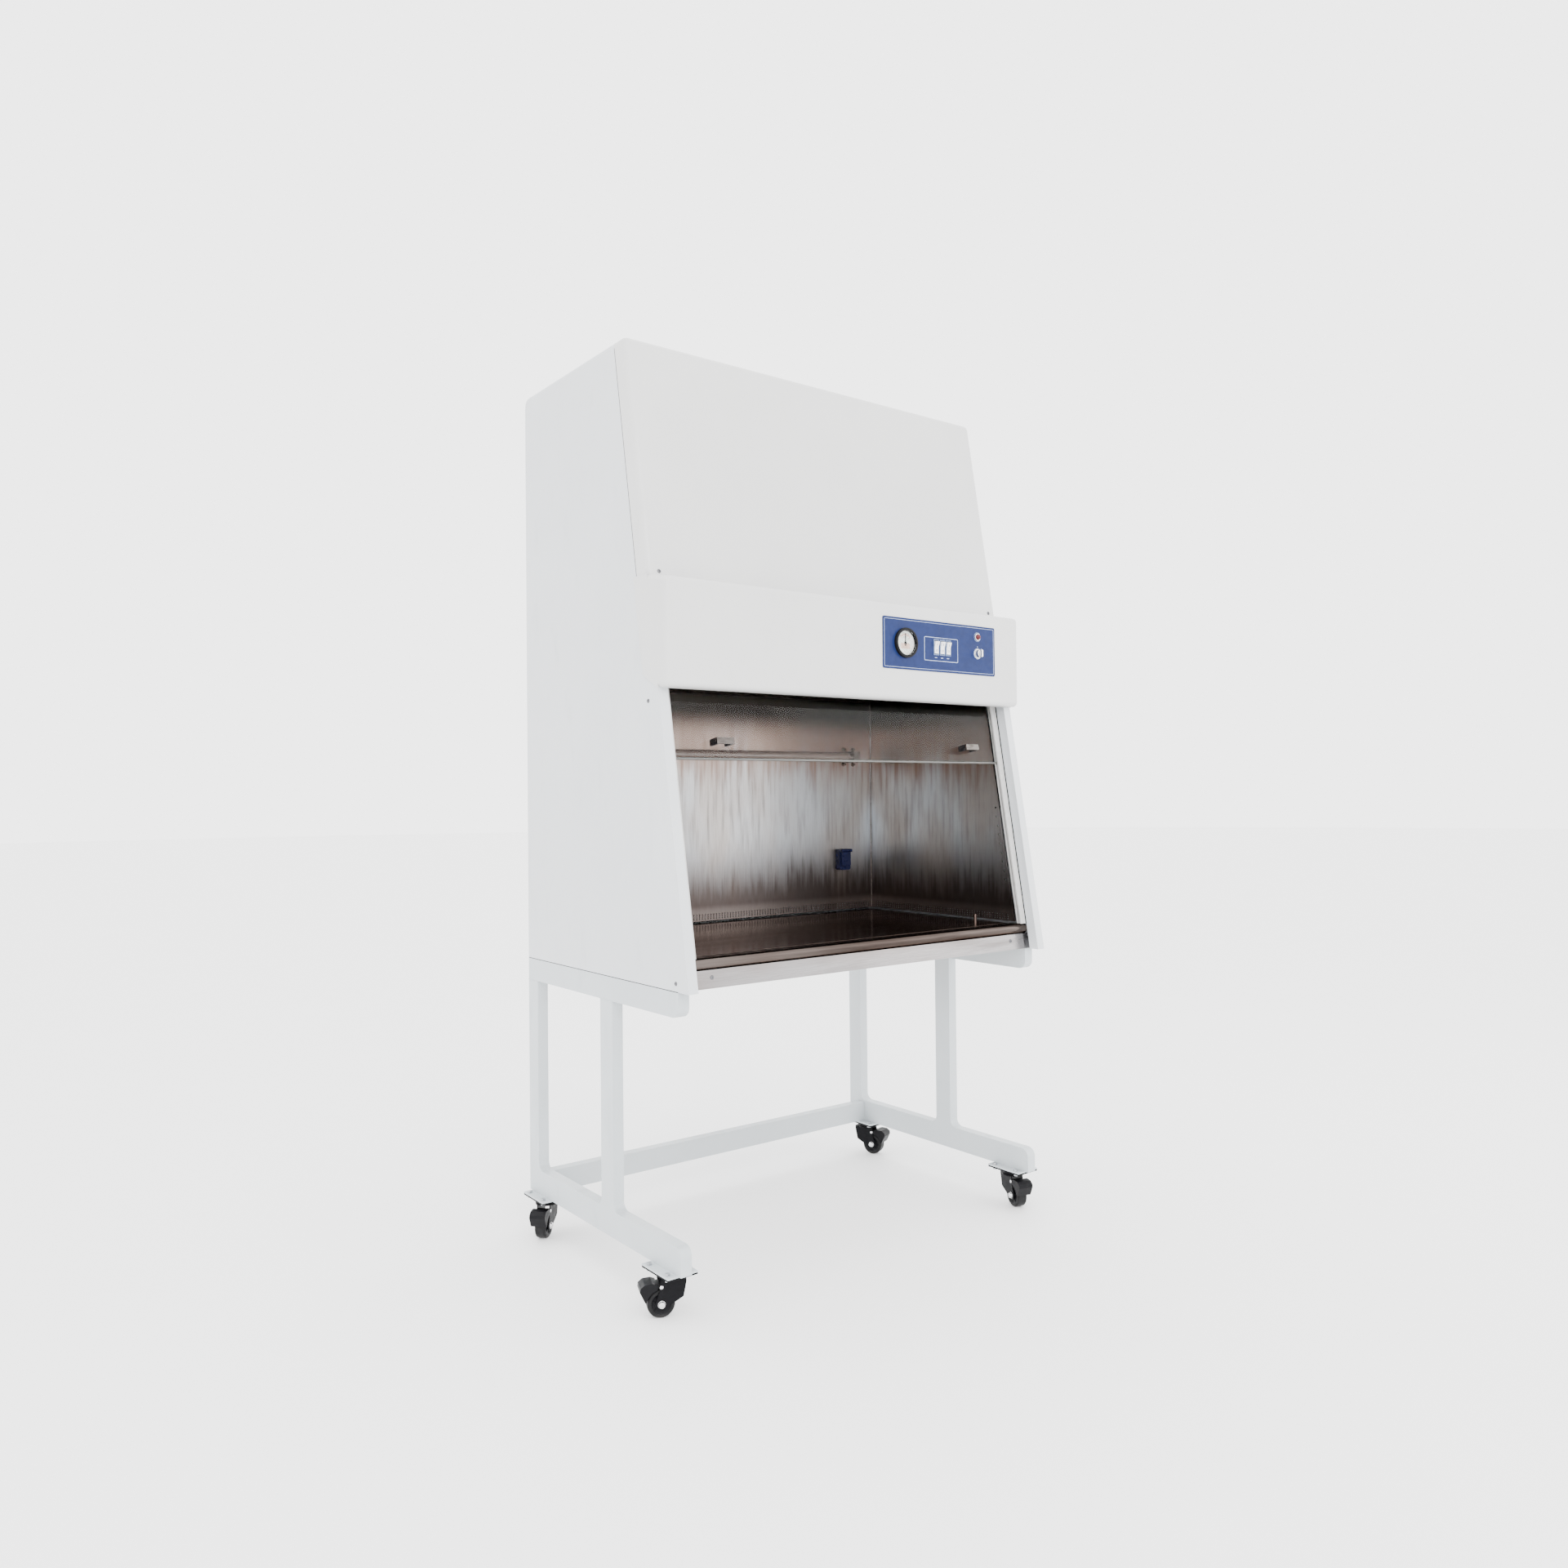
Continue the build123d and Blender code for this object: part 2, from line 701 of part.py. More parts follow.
with BuildPart() as hood_front_panel:
    strip(hood_bottom, top, 0, hood_band, -half, half)
    all_edges = hood_front_panel.edges()
    slanting = [edge for edge in all_edges if abs(edge.tangent_at(0.5).dot(up_slope)) > 0.999]
    side_edges = [edge for edge in slanting if abs(edge.center().Y - face_y(edge.center().Z)) < 1]
    fillet(side_edges, hood_bend_radius)
    top_front = hood_front_panel.edges().filter_by(Axis.X).group_by(Axis.Z)[-1].sort_by(Axis.Y)[0]
    fillet(top_front, roof_edge_radius)
    all_faces = hood_front_panel.faces()
    back_face = all_faces.filter_by(lambda face: face.normal_at().dot(off_slope) < -0.99)[0]
    bottom_face = all_faces.sort_by(Axis.Z)[0]
    offset(amount=-sheet, openings=[back_face, bottom_face])
save("hood_front_panel", hood_front_panel)

with BuildPart() as console_housing:
    end_x = half + console_gap + sheet
    slope_end = console_top + console_top_rise
    prism(
        [
            (console_front, console_bottom),
            (face_y(console_bottom), console_bottom),
            (face_y(slope_end), slope_end),
            (console_front, console_top),
        ],
        -end_x,
        end_x,
    )
    front_edges = console_housing.edges().group_by(Axis.Y)[0]
    fillet(front_edges.filter_by(Axis.Z), console_side_radius)
    front_edges = console_housing.edges().filter_by(Axis.X).group_by(Axis.Y)[0]
    fillet(front_edges, console_edge_radius)
    all_faces = console_housing.faces()
    back_face = all_faces.filter_by(lambda face: face.normal_at().dot(off_slope) < -0.99)[0]
    offset(amount=-sheet, openings=back_face)
    for sign in sides.values():
        prism(
            [
                (face_y(slope_end, -sheet), slope_end),
                (face_y(slope_end, console_flange), slope_end),
                (face_y(hood_joint, console_flange), hood_joint),
                (face_y(console_bottom, sheet), console_bottom),
                (face_y(console_bottom, -sheet), console_bottom),
            ],
            sign * (half + console_gap),
            sign * end_x,
        )
    cut_x = panel_width / 2 - panel_overlap
    cut_z = panel_height / 2 - panel_overlap
    panel_z = seat_height + panel_rise
    block(
        (panel_place - cut_x, console_front, panel_z - cut_z),
        (panel_place + cut_x, console_front + sheet, panel_z + cut_z),
        Mode.SUBTRACT,
    )
save("console_housing", console_housing)

between_jambs = half - jamb_width - running_gap
pan_top = seat_height + pan_lip
pan_front = face_y(pan_top, fascia_setback + liner + running_gap)
with BuildPart() as base_pan:
    wide_x = half - sheet
    pan_back = back - sheet
    block((-wide_x, pan_front, seat_height), (wide_x, pan_back, pan_top))
    low = (-wide_x + sheet, pan_front + sheet, seat_height + sheet)
    block(low, (wide_x - sheet, pan_back - sheet, pan_top), Mode.SUBTRACT)
save("base_pan", base_pan)

grille_z = work_z - running_gap
nose_low = grille_z - 2 * nose_round
fascia_top = nose_low - running_gap
with BuildPart() as front_fascia:
    fascia_low = seat_height + running_gap
    fascia_x = half - sheet - running_gap
    strip(fascia_low, fascia_top, fascia_setback, fascia_setback + liner, -fascia_x, fascia_x)
save("front_fascia", front_fascia)

nose_y = face_y(work_z, nose_setback)
grille_back = nose_y + grille_depth
guide_back_y = face_y(work_z, guide_setback + guide_depth)
with BuildPart() as front_airfoil:
    between_walls = inner - running_gap
    for inset, mode in ((0.0, Mode.ADD), (liner, Mode.SUBTRACT)):
        with BuildSketch(Plane.YZ.offset(-between_jambs)) as outline:
            Polygon(
                (nose_y + inset, nose_low + inset),
                (grille_back, nose_low + inset),
                (grille_back, grille_z - inset),
                (nose_y + inset, grille_z - inset),
            )
            corners = outline.vertices().group_by(Axis.X)[0]
            fillet(corners, nose_round - liner / 10 - inset)
        extrude(outline.sketch, amount=2 * between_jambs, mode=mode)
    block(
        (-between_jambs, nose_y + nose_lip, nose_low),
        (between_jambs, grille_back, grille_z - liner),
        Mode.SUBTRACT,
    )
    for sign in sides.values():
        block(
            (min(sign * between_walls, sign * half), guide_back_y, nose_low),
            (max(sign * between_walls, sign * half), grille_back + liner, work_z),
            Mode.SUBTRACT,
        )
    slot_count = int((chamber_width - slot_pitch) / slot_pitch)
    slot_y = (nose_y + nose_round + grille_back) / 2
    with BuildSketch(Plane.XY.offset(grille_z - liner)):
        with Locations((0, slot_y)):
            with GridLocations(slot_pitch, slot_row_pitch, slot_count, 2):
                SlotOverall(slot_length, slot_width)
    extrude(amount=liner, mode=Mode.SUBTRACT)
save("front_airfoil", front_airfoil)


# ---- Work chamber --------------------------------------------------------------------------
wall_front_low = face_y(wall_bottom, wall_setback)
wall_front_high = face_y(ceiling, wall_setback)
first_hole = wall_bottom + strip_edge

tray_x = inner - tray_gap
tray_front = grille_back + running_gap
tray_back = baffle - tray_gap
pan_floor = seat_height + sheet
with BuildPart() as work_tray:
    block((-tray_x, tray_front, work_z - tray_lip), (tray_x, tray_back, work_z))
    inset = tray_thickness
    low = (-tray_x + inset, tray_front + inset, work_z - tray_lip)
    high = (tray_x - inset, tray_back - inset, work_z - inset)
    block(low, high, Mode.SUBTRACT)
    for sign in sides.values():
        edges = sorted((sign * tray_x, sign * (tray_x - inset)))
        low = (edges[0], tray_front + tray_lip, pan_floor)
        high = (edges[1], tray_back - tray_lip, work_z - inset)
        block(low, high)
        knob = (sign * (tray_x - knob_inset), tray_front + knob_setback, work_z)
        rod(knob, (0, 0, 1), knob_radius, knob_height)
save("work_tray", work_tray)

strip_span = chamber_width - 2 * hole_pitch
with BuildPart() as back_baffle:
    with BuildSketch(Plane.XZ.offset(-baffle - liner)):
        Polygon(
            (-inner - liner, wall_bottom),
            (inner + liner, wall_bottom),
            (inner + liner, ceiling),
            (-inner - liner, ceiling),
        )
        row_centre = first_hole + strip_row_pitch * (strip_rows - 1) / 2
        with Locations((0, row_centre)):
            columns = int(strip_span / hole_pitch)
            with GridLocations(hole_pitch, strip_row_pitch, columns, strip_rows):
                Circle(hole_radius, mode=Mode.SUBTRACT)
    extrude(amount=liner)
save("back_baffle", back_baffle)

for side, sign in sides.items():
    near = min(sign * inner, sign * (inner + liner))
    with BuildPart() as inner_wall:
        with BuildSketch(Plane.YZ.offset(near)):
            Polygon(
                (wall_front_low, wall_bottom),
                (baffle, wall_bottom),
                (baffle, ceiling),
                (wall_front_high, ceiling),
            )
            wall_length = baffle - wall_front_low - 4 * hole_pitch
            columns = int(wall_length / hole_pitch)
            with Locations(((baffle + wall_front_low) / 2, row_centre)):
                with GridLocations(hole_pitch, strip_row_pitch, columns, strip_rows):
                    Circle(hole_radius, mode=Mode.SUBTRACT)
            port_zs = [seat_height + port_rise + port_pitch * n for n in range(port_count)]
            with Locations(*[(face_y(z, port_setback), z) for z in port_zs]):
                Circle(port_radius, mode=Mode.SUBTRACT)
        extrude(amount=liner)
    save(f"inner_wall_{side}", inner_wall)

filter_x = inner - filter_side_gap
with BuildPart() as ceiling_diffuser:
    with BuildSketch(Plane.XY.offset(ceiling)):
        Polygon(
            (-inner - liner, wall_front_high),
            (inner + liner, wall_front_high),
            (inner + liner, baffle + liner),
            (-inner - liner, baffle + liner),
        )
        vent_rows = int((filter_back + filter_front - 2 * filter_rim) / slot_row_pitch / 2)
        vent_columns = int((2 * filter_x - 2 * filter_rim) / slot_pitch)
        with Locations((0, (filter_back - filter_front) / 2)):
            with GridLocations(slot_pitch, 2 * slot_row_pitch, vent_columns, vent_rows):
                SlotOverall(slot_length, slot_width, mode=Mode.SUBTRACT)
    extrude(amount=liner)
save("ceiling_diffuser", ceiling_diffuser)


# ---- Filters and blower --------------------------------------------------------------------
def hepa(low, high):
    """A filter: a square frame around a block of pleated paper that stops short of both faces."""
    block(low, high)
    for z_low, z_high in ((low[2], low[2] + media_recess), (high[2] - media_recess, high[2])):
        block(
            (low[0] + filter_rim, low[1] + filter_rim, z_low),
            (high[0] - filter_rim, high[1] - filter_rim, z_high),
            Mode.SUBTRACT,
        )


filter_bottom = ceiling + liner
filter_top = filter_bottom + filter_height
with BuildPart() as supply_filter:
    hepa((-filter_x, -filter_front, filter_bottom), (filter_x, filter_back, filter_top))
save("supply_filter", supply_filter)

exhaust_x = exhaust_width / 2
with BuildPart() as exhaust_filter:
    hepa(
        (-exhaust_x, exhaust_place - exhaust_depth / 2, roof_under - filter_height),
        (exhaust_x, exhaust_place + exhaust_depth / 2, roof_under),
    )
save("exhaust_filter", exhaust_filter)

with BuildPart() as exhaust_grille:
    with BuildSketch(Plane.XY.offset(top)):
        with Locations((0, exhaust_place)):
            cover_x = opening_x + grille_border
            cover_y = opening_y + grille_border
            RectangleRounded(2 * cover_x, 2 * cover_y, grille_corner)
            rows = int(2 * opening_y / slot_row_pitch)
            columns = int(2 * opening_x / slot_pitch)
            with GridLocations(slot_pitch, slot_row_pitch, columns, rows):
                SlotOverall(slot_length, slot_width, mode=Mode.SUBTRACT)
    extrude(amount=sheet)
save("exhaust_grille", exhaust_grille)

deck_top = filter_top + plenum_height
deck_under = deck_top - sheet
plenum_x = filter_x - plenum_wall_inset
plenum_front = -filter_front + plenum_wall_inset
plenum_back = filter_back - plenum_wall_inset
fan_z = deck_top + blower_rise
fan_y = blower_place
outlet_front = fan_y + outlet_setback
outlet_back = outlet_front + outlet_length
with BuildPart() as plenum_deck:
    block((-plenum_x, plenum_front, filter_top), (plenum_x, plenum_back, deck_under))
    block(
        (-plenum_x + sheet, plenum_front + sheet, filter_top),
        (plenum_x - sheet, plenum_back - sheet, deck_under),
        Mode.SUBTRACT,
    )
    # The deck's wings reach the side skins behind the counterweights' way.
    deck_end = max(plenum_back, outlet_back + deck_margin)
    wing_front = face_y(deck_top, weight_setback + weight_depth) + deck_margin
    block((-plenum_x, plenum_front, deck_under), (plenum_x, deck_end, deck_top))
    block((-half + sheet, wing_front, deck_under), (half - sheet, deck_end, deck_top))
    block(
        (-scroll_width / 2 + sheet, outlet_front + sheet, deck_under),
        (scroll_width / 2 - sheet, min(outlet_back, plenum_back) - sheet, deck_top),
        Mode.SUBTRACT,
    )
save("plenum_deck", plenum_deck)

with BuildPart() as blower_housing:
    for inset, mode in ((0.0, Mode.ADD), (sheet, Mode.SUBTRACT)):
        with BuildSketch(Plane.YZ.offset(-scroll_width / 2 + inset)) as outline:
            Polygon(
                (outlet_front + inset, deck_top),
                (outlet_back - inset, deck_top),
                (outlet_back - inset, fan_z),
                (outlet_front + inset, fan_z),
            )
            with Locations((fan_y, fan_z)):
                Circle(scroll_radius - inset)
        extrude(outline.sketch, amount=scroll_width - 2 * inset, mode=mode)
    rod((-scroll_width / 2, fan_y, fan_z), across, inlet_radius, scroll_width, Mode.SUBTRACT)
    foot_y = fan_y - scroll_foot_place
    foot_x = scroll_foot_width / 2
    block(
        (-foot_x, foot_y - foot_x, deck_top),
        (foot_x, foot_y + foot_x, fan_z - scroll_radius + scroll_foot_width),
    )
    rod((-foot_x, fan_y, fan_z), across, scroll_radius - sheet, 2 * foot_x, Mode.SUBTRACT)
save("blower_housing", blower_housing)

with BuildPart() as blower_impeller:
    for start in (-fan_width / 2, fan_width / 2 - ring_thickness):
        with BuildSketch(Plane.YZ.offset(start)):
            with Locations((fan_y, fan_z)):
                Circle(fan_radius)
                Circle(fan_radius - blade_depth, mode=Mode.SUBTRACT)
        extrude(amount=ring_thickness)
    with BuildSketch(Plane.YZ.offset(-fan_width / 2)):
        with Locations((fan_y, fan_z)):
            with PolarLocations(fan_radius - blade_depth / 2, blade_count):
                Rectangle(blade_depth - blade_thickness, blade_thickness)
    extrude(amount=fan_width)
    with BuildSketch(Plane.YZ.offset(-ring_thickness / 2)):
        with Locations((fan_y, fan_z)):
            Circle(fan_radius - blade_thickness)
    extrude(amount=ring_thickness)
    rod((-fan_hub_length / 2, fan_y, fan_z), across, fan_hub_radius, fan_hub_length)
    bore = motor_shaft_radius + bearing_gap
    rod((-fan_hub_length / 2, fan_y, fan_z), across, bore, fan_hub_length, Mode.SUBTRACT)
save("blower_impeller", blower_impeller)

with BuildPart() as blower_motor:
    arm_x = scroll_width / 2
    rod((motor_start, fan_y, fan_z), across, motor_radius, arm_x - motor_start)
    rod((motor_start, fan_y, fan_z), -across, motor_shaft_radius, motor_shaft_length)
    arm_reach = (scroll_radius + inlet_radius) / 2
    with BuildSketch(Plane.YZ.offset(arm_x)):
        with Locations((fan_y, fan_z)):
            Circle(motor_radius)
            for angle in (90, 210, 330):
                with PolarLocations(0, 1, start_angle=angle):
                    Rectangle(arm_reach, motor_arm_width, align=(Align.MIN, Align.CENTER))
    extrude(amount=motor_arm_thickness)
save("blower_motor", blower_motor)


# ---- Sash ----------------------------------------------------------------------------------
guide_top = seat_height + guide_top_rise
guide_inner = half - jamb_width
half_glass = glass_thickness / 2 / cos(radians(lean))
with BuildPart() as sash_guides:
    for sign in sides.values():
        outer_x = sign * guide_inner
        inner_x = sign * (guide_inner - guide_lip)
        guide_end = guide_setback + guide_depth
        strip(work_z, guide_top, guide_setback, guide_end, inner_x, outer_x)
        slot_x = sign * (guide_inner - guide_web)
        slot_near = glass_setback - half_glass - running_gap
        slot_far = glass_setback + half_glass + running_gap
        strip(work_z, guide_top, slot_near, slot_far, inner_x, slot_x, Mode.SUBTRACT)
save("sash_guides", sash_guides)

sash_bottom = seat_height + sash_rise
sash_top = sash_bottom + sash_height
sash_x = inner + glass_overlap
with BuildPart() as sash_glass:
    near, far = glass_setback - half_glass, glass_setback + half_glass
    strip(sash_bottom, sash_top, near, far, -sash_x, sash_x)
save("sash_glass", sash_glass)

handle_z = sash_bottom + handle_rise
handle_y = face_y(handle_z, glass_setback - half_glass)
with BuildPart() as sash_handles:
    for sign in sides.values():
        spot = (sign * handle_place, handle_y, handle_z)
        glass_face = Plane(origin=spot, x_dir=(1, 0, 0), z_dir=tuple(off_slope))
        with BuildSketch(glass_face):
            with GridLocations(handle_width - handle_leg, 0, 2, 1):
                Rectangle(handle_leg, handle_height)
        extrude(amount=handle_reach)
        with BuildSketch(glass_face.offset(handle_reach - handle_strap)):
            RectangleRounded(handle_width, handle_height, handle_strap / 2)
        extrude(amount=handle_strap)
save("sash_handles", sash_handles)

weight_bottom = seat_height + weight_rise
with BuildPart() as counterweights:
    for sign in sides.values():
        near_x = sign * (inner + liner + running_gap)
        far_x = sign * (half - sheet - running_gap)
        weight_end = weight_setback + weight_depth
        strip(weight_bottom, weight_bottom + weight_height, weight_setback, weight_end, near_x, far_x)
save("counterweights", counterweights)

with BuildPart() as pulley_shaft:
    shaft_end = half - sheet - running_gap
    rod((-shaft_end, pulley_y, pulley_z), across, shaft_radius, 2 * shaft_end)
    for sign in sides.values():
        centre = sign * (half - pulley_inset) - pulley_width / 2
        rod((centre, pulley_y, pulley_z), across, pulley_radius, pulley_width)
save("pulley_shaft", pulley_shaft)


# ---- Lamps ---------------------------------------------------------------------------------
uv_y = baffle - uv_standoff
uv_z = seat_height + uv_rise
work_lamp_z = ceiling - work_lamp_drop
work_lamp_y = face_y(ceiling, work_lamp_setback)
for name, y, z in (("uv_lamp", uv_y, uv_z), ("work_lamp", work_lamp_y, work_lamp_z)):
    with BuildPart() as lamp_tube:
        rod((-tube_length / 2, y, z), across, tube_radius, tube_length)
    save(name, lamp_tube)

with BuildPart() as lamp_holders:
    block_reach = tube_radius + holder_wall
    for sign in sides.values():
        start_x = sign * (tube_length / 2 - holder_grip)
        end_x = start_x + sign * holder_length
        low_x, high_x = min(start_x, end_x), max(start_x, end_x)
        block((low_x, uv_y - block_reach, uv_z - block_reach), (high_x, baffle, uv_z + block_reach))
        block(
            (low_x, work_lamp_y - block_reach, work_lamp_z - block_reach),
            (high_x, work_lamp_y + block_reach, ceiling),
        )
        for y, z in ((uv_y, uv_z), (work_lamp_y, work_lamp_z)):
            start = (start_x, y, z)
            grip = holder_grip + running_gap
            rod(start, (sign, 0, 0), tube_radius + running_gap, grip, Mode.SUBTRACT)
        for dx in (-stud_spacing_x / 2, stud_spacing_x / 2):
            for dz in (-stud_spacing_z / 2, stud_spacing_z / 2):
                stud = ((start_x + end_x) / 2 + dx, baffle, uv_z + dz)
                rod(stud, (0, -1, 0), stud_radius, stud_length)
save("lamp_holders", lamp_holders)


# ---- Socket --------------------------------------------------------------------------------
socket_z = seat_height + socket_rise
socket_front = baffle - socket_depth
hinge_y = socket_front - running_gap - cover_knuckle_radius
hinge_z = socket_z + socket_height / 2 - cover_knuckle_radius
with BuildPart() as socket_base:
    low_x, high_x = socket_place - socket_width / 2, socket_place + socket_width / 2
    block(
        (low_x, socket_front, socket_z - socket_height / 2),
        (high_x, baffle, socket_z + socket_height / 2),
    )
    fillet(socket_base.edges().filter_by(Axis.Y).group_by(Axis.Z)[0], socket_corner)
    well_z = socket_z - cover_knuckle_radius
    well = (socket_place, socket_front, well_z)
    rod(well, (0, 1, 0), socket_well_radius, socket_well_depth, Mode.SUBTRACT)
    for start_x in (low_x, high_x - cover_ear):
        block(
            (start_x, hinge_y - cover_knuckle_radius, hinge_z - cover_knuckle_radius),
            (start_x + cover_ear, socket_front, hinge_z + cover_knuckle_radius),
        )
    rod((low_x, hinge_y, hinge_z), across, cover_pin_radius, socket_width)
save("socket_base", socket_base)

with BuildPart() as socket_cover:
    knuckle_x = socket_place - cover_width / 2 + running_gap
    knuckle_length = cover_width - 2 * running_gap
    rod((knuckle_x, hinge_y, hinge_z), across, cover_knuckle_radius, knuckle_length)
    block(
        (
            knuckle_x,
            hinge_y + cover_knuckle_radius - cover_thickness,
            hinge_z - cover_knuckle_radius - cover_drop,
        ),
        (knuckle_x + knuckle_length, hinge_y + cover_knuckle_radius, hinge_z),
    )
    fillet(socket_cover.edges().filter_by(Axis.Y).group_by(Axis.Z)[0], socket_corner - cover_ear)
    bore = cover_pin_radius + bearing_gap
    rod((knuckle_x, hinge_y, hinge_z), across, bore, knuckle_length, Mode.SUBTRACT)
save("socket_cover", socket_cover)


# ---- Controls ------------------------------------------------------------------------------
gauge_z = seat_height + gauge_rise
switch_z = seat_height + switch_rise
switch_xs = [switch_place + switch_pitch * (n - (switch_count - 1) / 2) for n in range(switch_count)]
indicator_z = seat_height + indicator_rise
key_z = seat_height + key_rise
body_width = switch_width - 2 * switch_rim
body_height_z = switch_height - 2 * switch_rim
gauge_body_radius = gauge_radius - gauge_bezel / 2
into = (0, 1, 0)
with BuildPart() as control_plate:
    with BuildSketch(Plane.XZ.offset(-console_front)):
        with Locations((panel_place, panel_z)):
            RectangleRounded(panel_width, panel_height, panel_corner)
        with Locations((gauge_place, gauge_z)):
            Circle(gauge_body_radius + bearing_gap, mode=Mode.SUBTRACT)
        with Locations(*[(x, switch_z) for x in switch_xs]):
            Rectangle(body_width, body_height_z, mode=Mode.SUBTRACT)
        with Locations((control_place, indicator_z)):
            Circle(indicator_radius + bearing_gap, mode=Mode.SUBTRACT)
        with Locations((control_place, key_z)):
            Circle(key_shaft_radius + bearing_gap, mode=Mode.SUBTRACT)
    extrude(amount=panel_thickness)
save("control_plate", control_plate)

bezel_front = plate_front - gauge_proud
dial_y = bezel_front + dial_recess
with BuildPart() as gauge_case:
    rod((gauge_place, bezel_front, gauge_z), into, gauge_radius, gauge_proud)
    rod((gauge_place, plate_front, gauge_z), into, gauge_body_radius, gauge_depth)
    cup = gauge_radius - gauge_bezel
    rod((gauge_place, bezel_front, gauge_z), into, cup, dial_recess, Mode.SUBTRACT)
    rod((gauge_place, dial_y, gauge_z), (0, -1, 0), spindle_radius, spindle_length)
save("gauge_case", gauge_case)

with BuildPart() as gauge_needle:
    needle_y = dial_y - needle_thickness
    rod((gauge_place, needle_y, gauge_z), (0, -1, 0), needle_hub_radius, needle_thickness)
    block(
        (gauge_place - needle_width / 2, needle_y - needle_thickness, gauge_z - needle_tail),
        (gauge_place + needle_width / 2, needle_y, gauge_z + needle_length),
    )
    bore = spindle_radius + bearing_gap
    start = (gauge_place, needle_y, gauge_z)
    rod(start, (0, -1, 0), bore, needle_thickness, Mode.SUBTRACT)
save("gauge_needle", gauge_needle)

with BuildPart() as gauge_lens:
    start = (gauge_place, bezel_front + needle_thickness, gauge_z)
    rod(start, into, cup, lens_thickness)
save("gauge_lens", gauge_lens)

well_half_width = rocker_width / 2 + running_gap
well_half_height = rocker_height / 2 + rocker_end_gap
with BuildPart() as switch_bodies:
    for x in switch_xs:
        block(
            (x - switch_width / 2, plate_front - switch_rim, switch_z - switch_height / 2),
            (x + switch_width / 2, plate_front, switch_z + switch_height / 2),
        )
        block(
            (x - body_width / 2, plate_front, switch_z - body_height_z / 2),
            (x + body_width / 2, plate_front + switch_depth, switch_z + body_height_z / 2),
        )
        block(
            (x - well_half_width, plate_front - switch_rim, switch_z - well_half_height),
            (x + well_half_width, plate_front + switch_depth / 2, switch_z + well_half_height),
            Mode.SUBTRACT,
        )
        pin_start = (x - well_half_width, plate_front, switch_z)
        rod(pin_start, across, rocker_pin_radius, 2 * well_half_width)
save("switch_bodies", switch_bodies)

for number, x in enumerate(switch_xs, start=1):
    # Off at rest: the upper half stands out, and the lower half is pressed in.
    with BuildPart() as rocker:
        with BuildSketch(Plane.YZ.offset(x - rocker_width / 2)):
            with Locations((plate_front, switch_z)):
                Polygon(
                    (-rocker_front, -rocker_height / 2),
                    (0, -rocker_height / 2),
                    (rocker_waist, 0),
                    (0, rocker_height / 2),
                    (-rocker_front, rocker_height / 2),
                    (-rocker_waist, 0),
                    rotation=rocker_tilt,
                )
                Circle(rocker_pin_radius + bearing_gap, mode=Mode.SUBTRACT)
        extrude(amount=rocker_width)
    save(f"rocker_switch_{number}", rocker)

with BuildPart() as indicator_lamp:
    start = (control_place, plate_front, indicator_z)
    rod(start, (0, -1, 0), indicator_radius + indicator_flange, panel_thickness)
    rod(start, into, indicator_radius, indicator_depth)
    with Locations((control_place, plate_front - panel_thickness, indicator_z)):
        Sphere(indicator_radius)
save("indicator_lamp", indicator_lamp)

with BuildPart() as key_switch:
    start = (control_place, plate_front - running_gap, key_z)
    rod(start, (0, -1, 0), key_radius, key_proud)
    fillet(key_switch.edges().group_by(Axis.Y)[0], key_edge_radius)
    key_end = plate_front - running_gap - key_proud
    block(
        (control_place - key_slot_width / 2, key_end, key_z - key_shaft_radius),
        (control_place + key_slot_width / 2, key_end + key_edge_radius, key_z + key_shaft_radius),
        Mode.SUBTRACT,
    )
    rod(start, into, key_shaft_radius, key_depth)
save("key_switch", key_switch)


# ---- Fasteners and power inlet -------------------------------------------------------------
with BuildPart() as body_screws:
    for sign in sides.values():
        for rise in (upper_screw_rise, lower_screw_rise):
            z = seat_height + rise
            rod((sign * half, face_y(z, screw_setback), z), (sign, 0, 0), screw_radius, screw_height)
        hood_z = seat_height + hood_screw_rise
        hood_x = sign * (half - hood_screw_inset)
        rod((hood_x, face_y(hood_z), hood_z), tuple(off_slope), screw_radius, screw_height)
        fascia_z = seat_height + fascia_screw_rise
        fascia_spot = (sign * fascia_screw_place, face_y(fascia_z, fascia_setback), fascia_z)
        rod(fascia_spot, tuple(off_slope), screw_radius, screw_height)
save("body_screws", body_screws)

with BuildPart() as power_inlet:
    panel_inside = back - sheet
    reach_x = inlet_width / 2 + inlet_flange
    reach_z = inlet_height / 2 + inlet_flange
    block(
        (inlet_place - reach_x, panel_inside - inlet_flange_thickness, inlet_z - reach_z),
        (inlet_place + reach_x, panel_inside, inlet_z + reach_z),
    )
    block(
        (inlet_place - inlet_width / 2, panel_inside - inlet_depth, inlet_z - inlet_height / 2),
        (inlet_place + inlet_width / 2, panel_inside, inlet_z + inlet_height / 2),
    )
    recess_x = inlet_width / 2 - sheet
    recess_low = inlet_z - inlet_height / 2 + sheet
    block(
        (inlet_place - recess_x, panel_inside - inlet_recess, recess_low),
        (inlet_place + recess_x, panel_inside, inlet_z),
        Mode.SUBTRACT,
    )
    pin_z = inlet_z - inlet_height / 4 + sheet / 2
    for dx in (-inlet_pin_spacing, 0, inlet_pin_spacing):
        pin = (inlet_place + dx, panel_inside - inlet_recess, pin_z)
        rod(pin, into, inlet_pin_radius, inlet_recess - sheet)
save("power_inlet", power_inlet)
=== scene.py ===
import json
import math

import bmesh
import bpy
from mathutils import Matrix, Vector


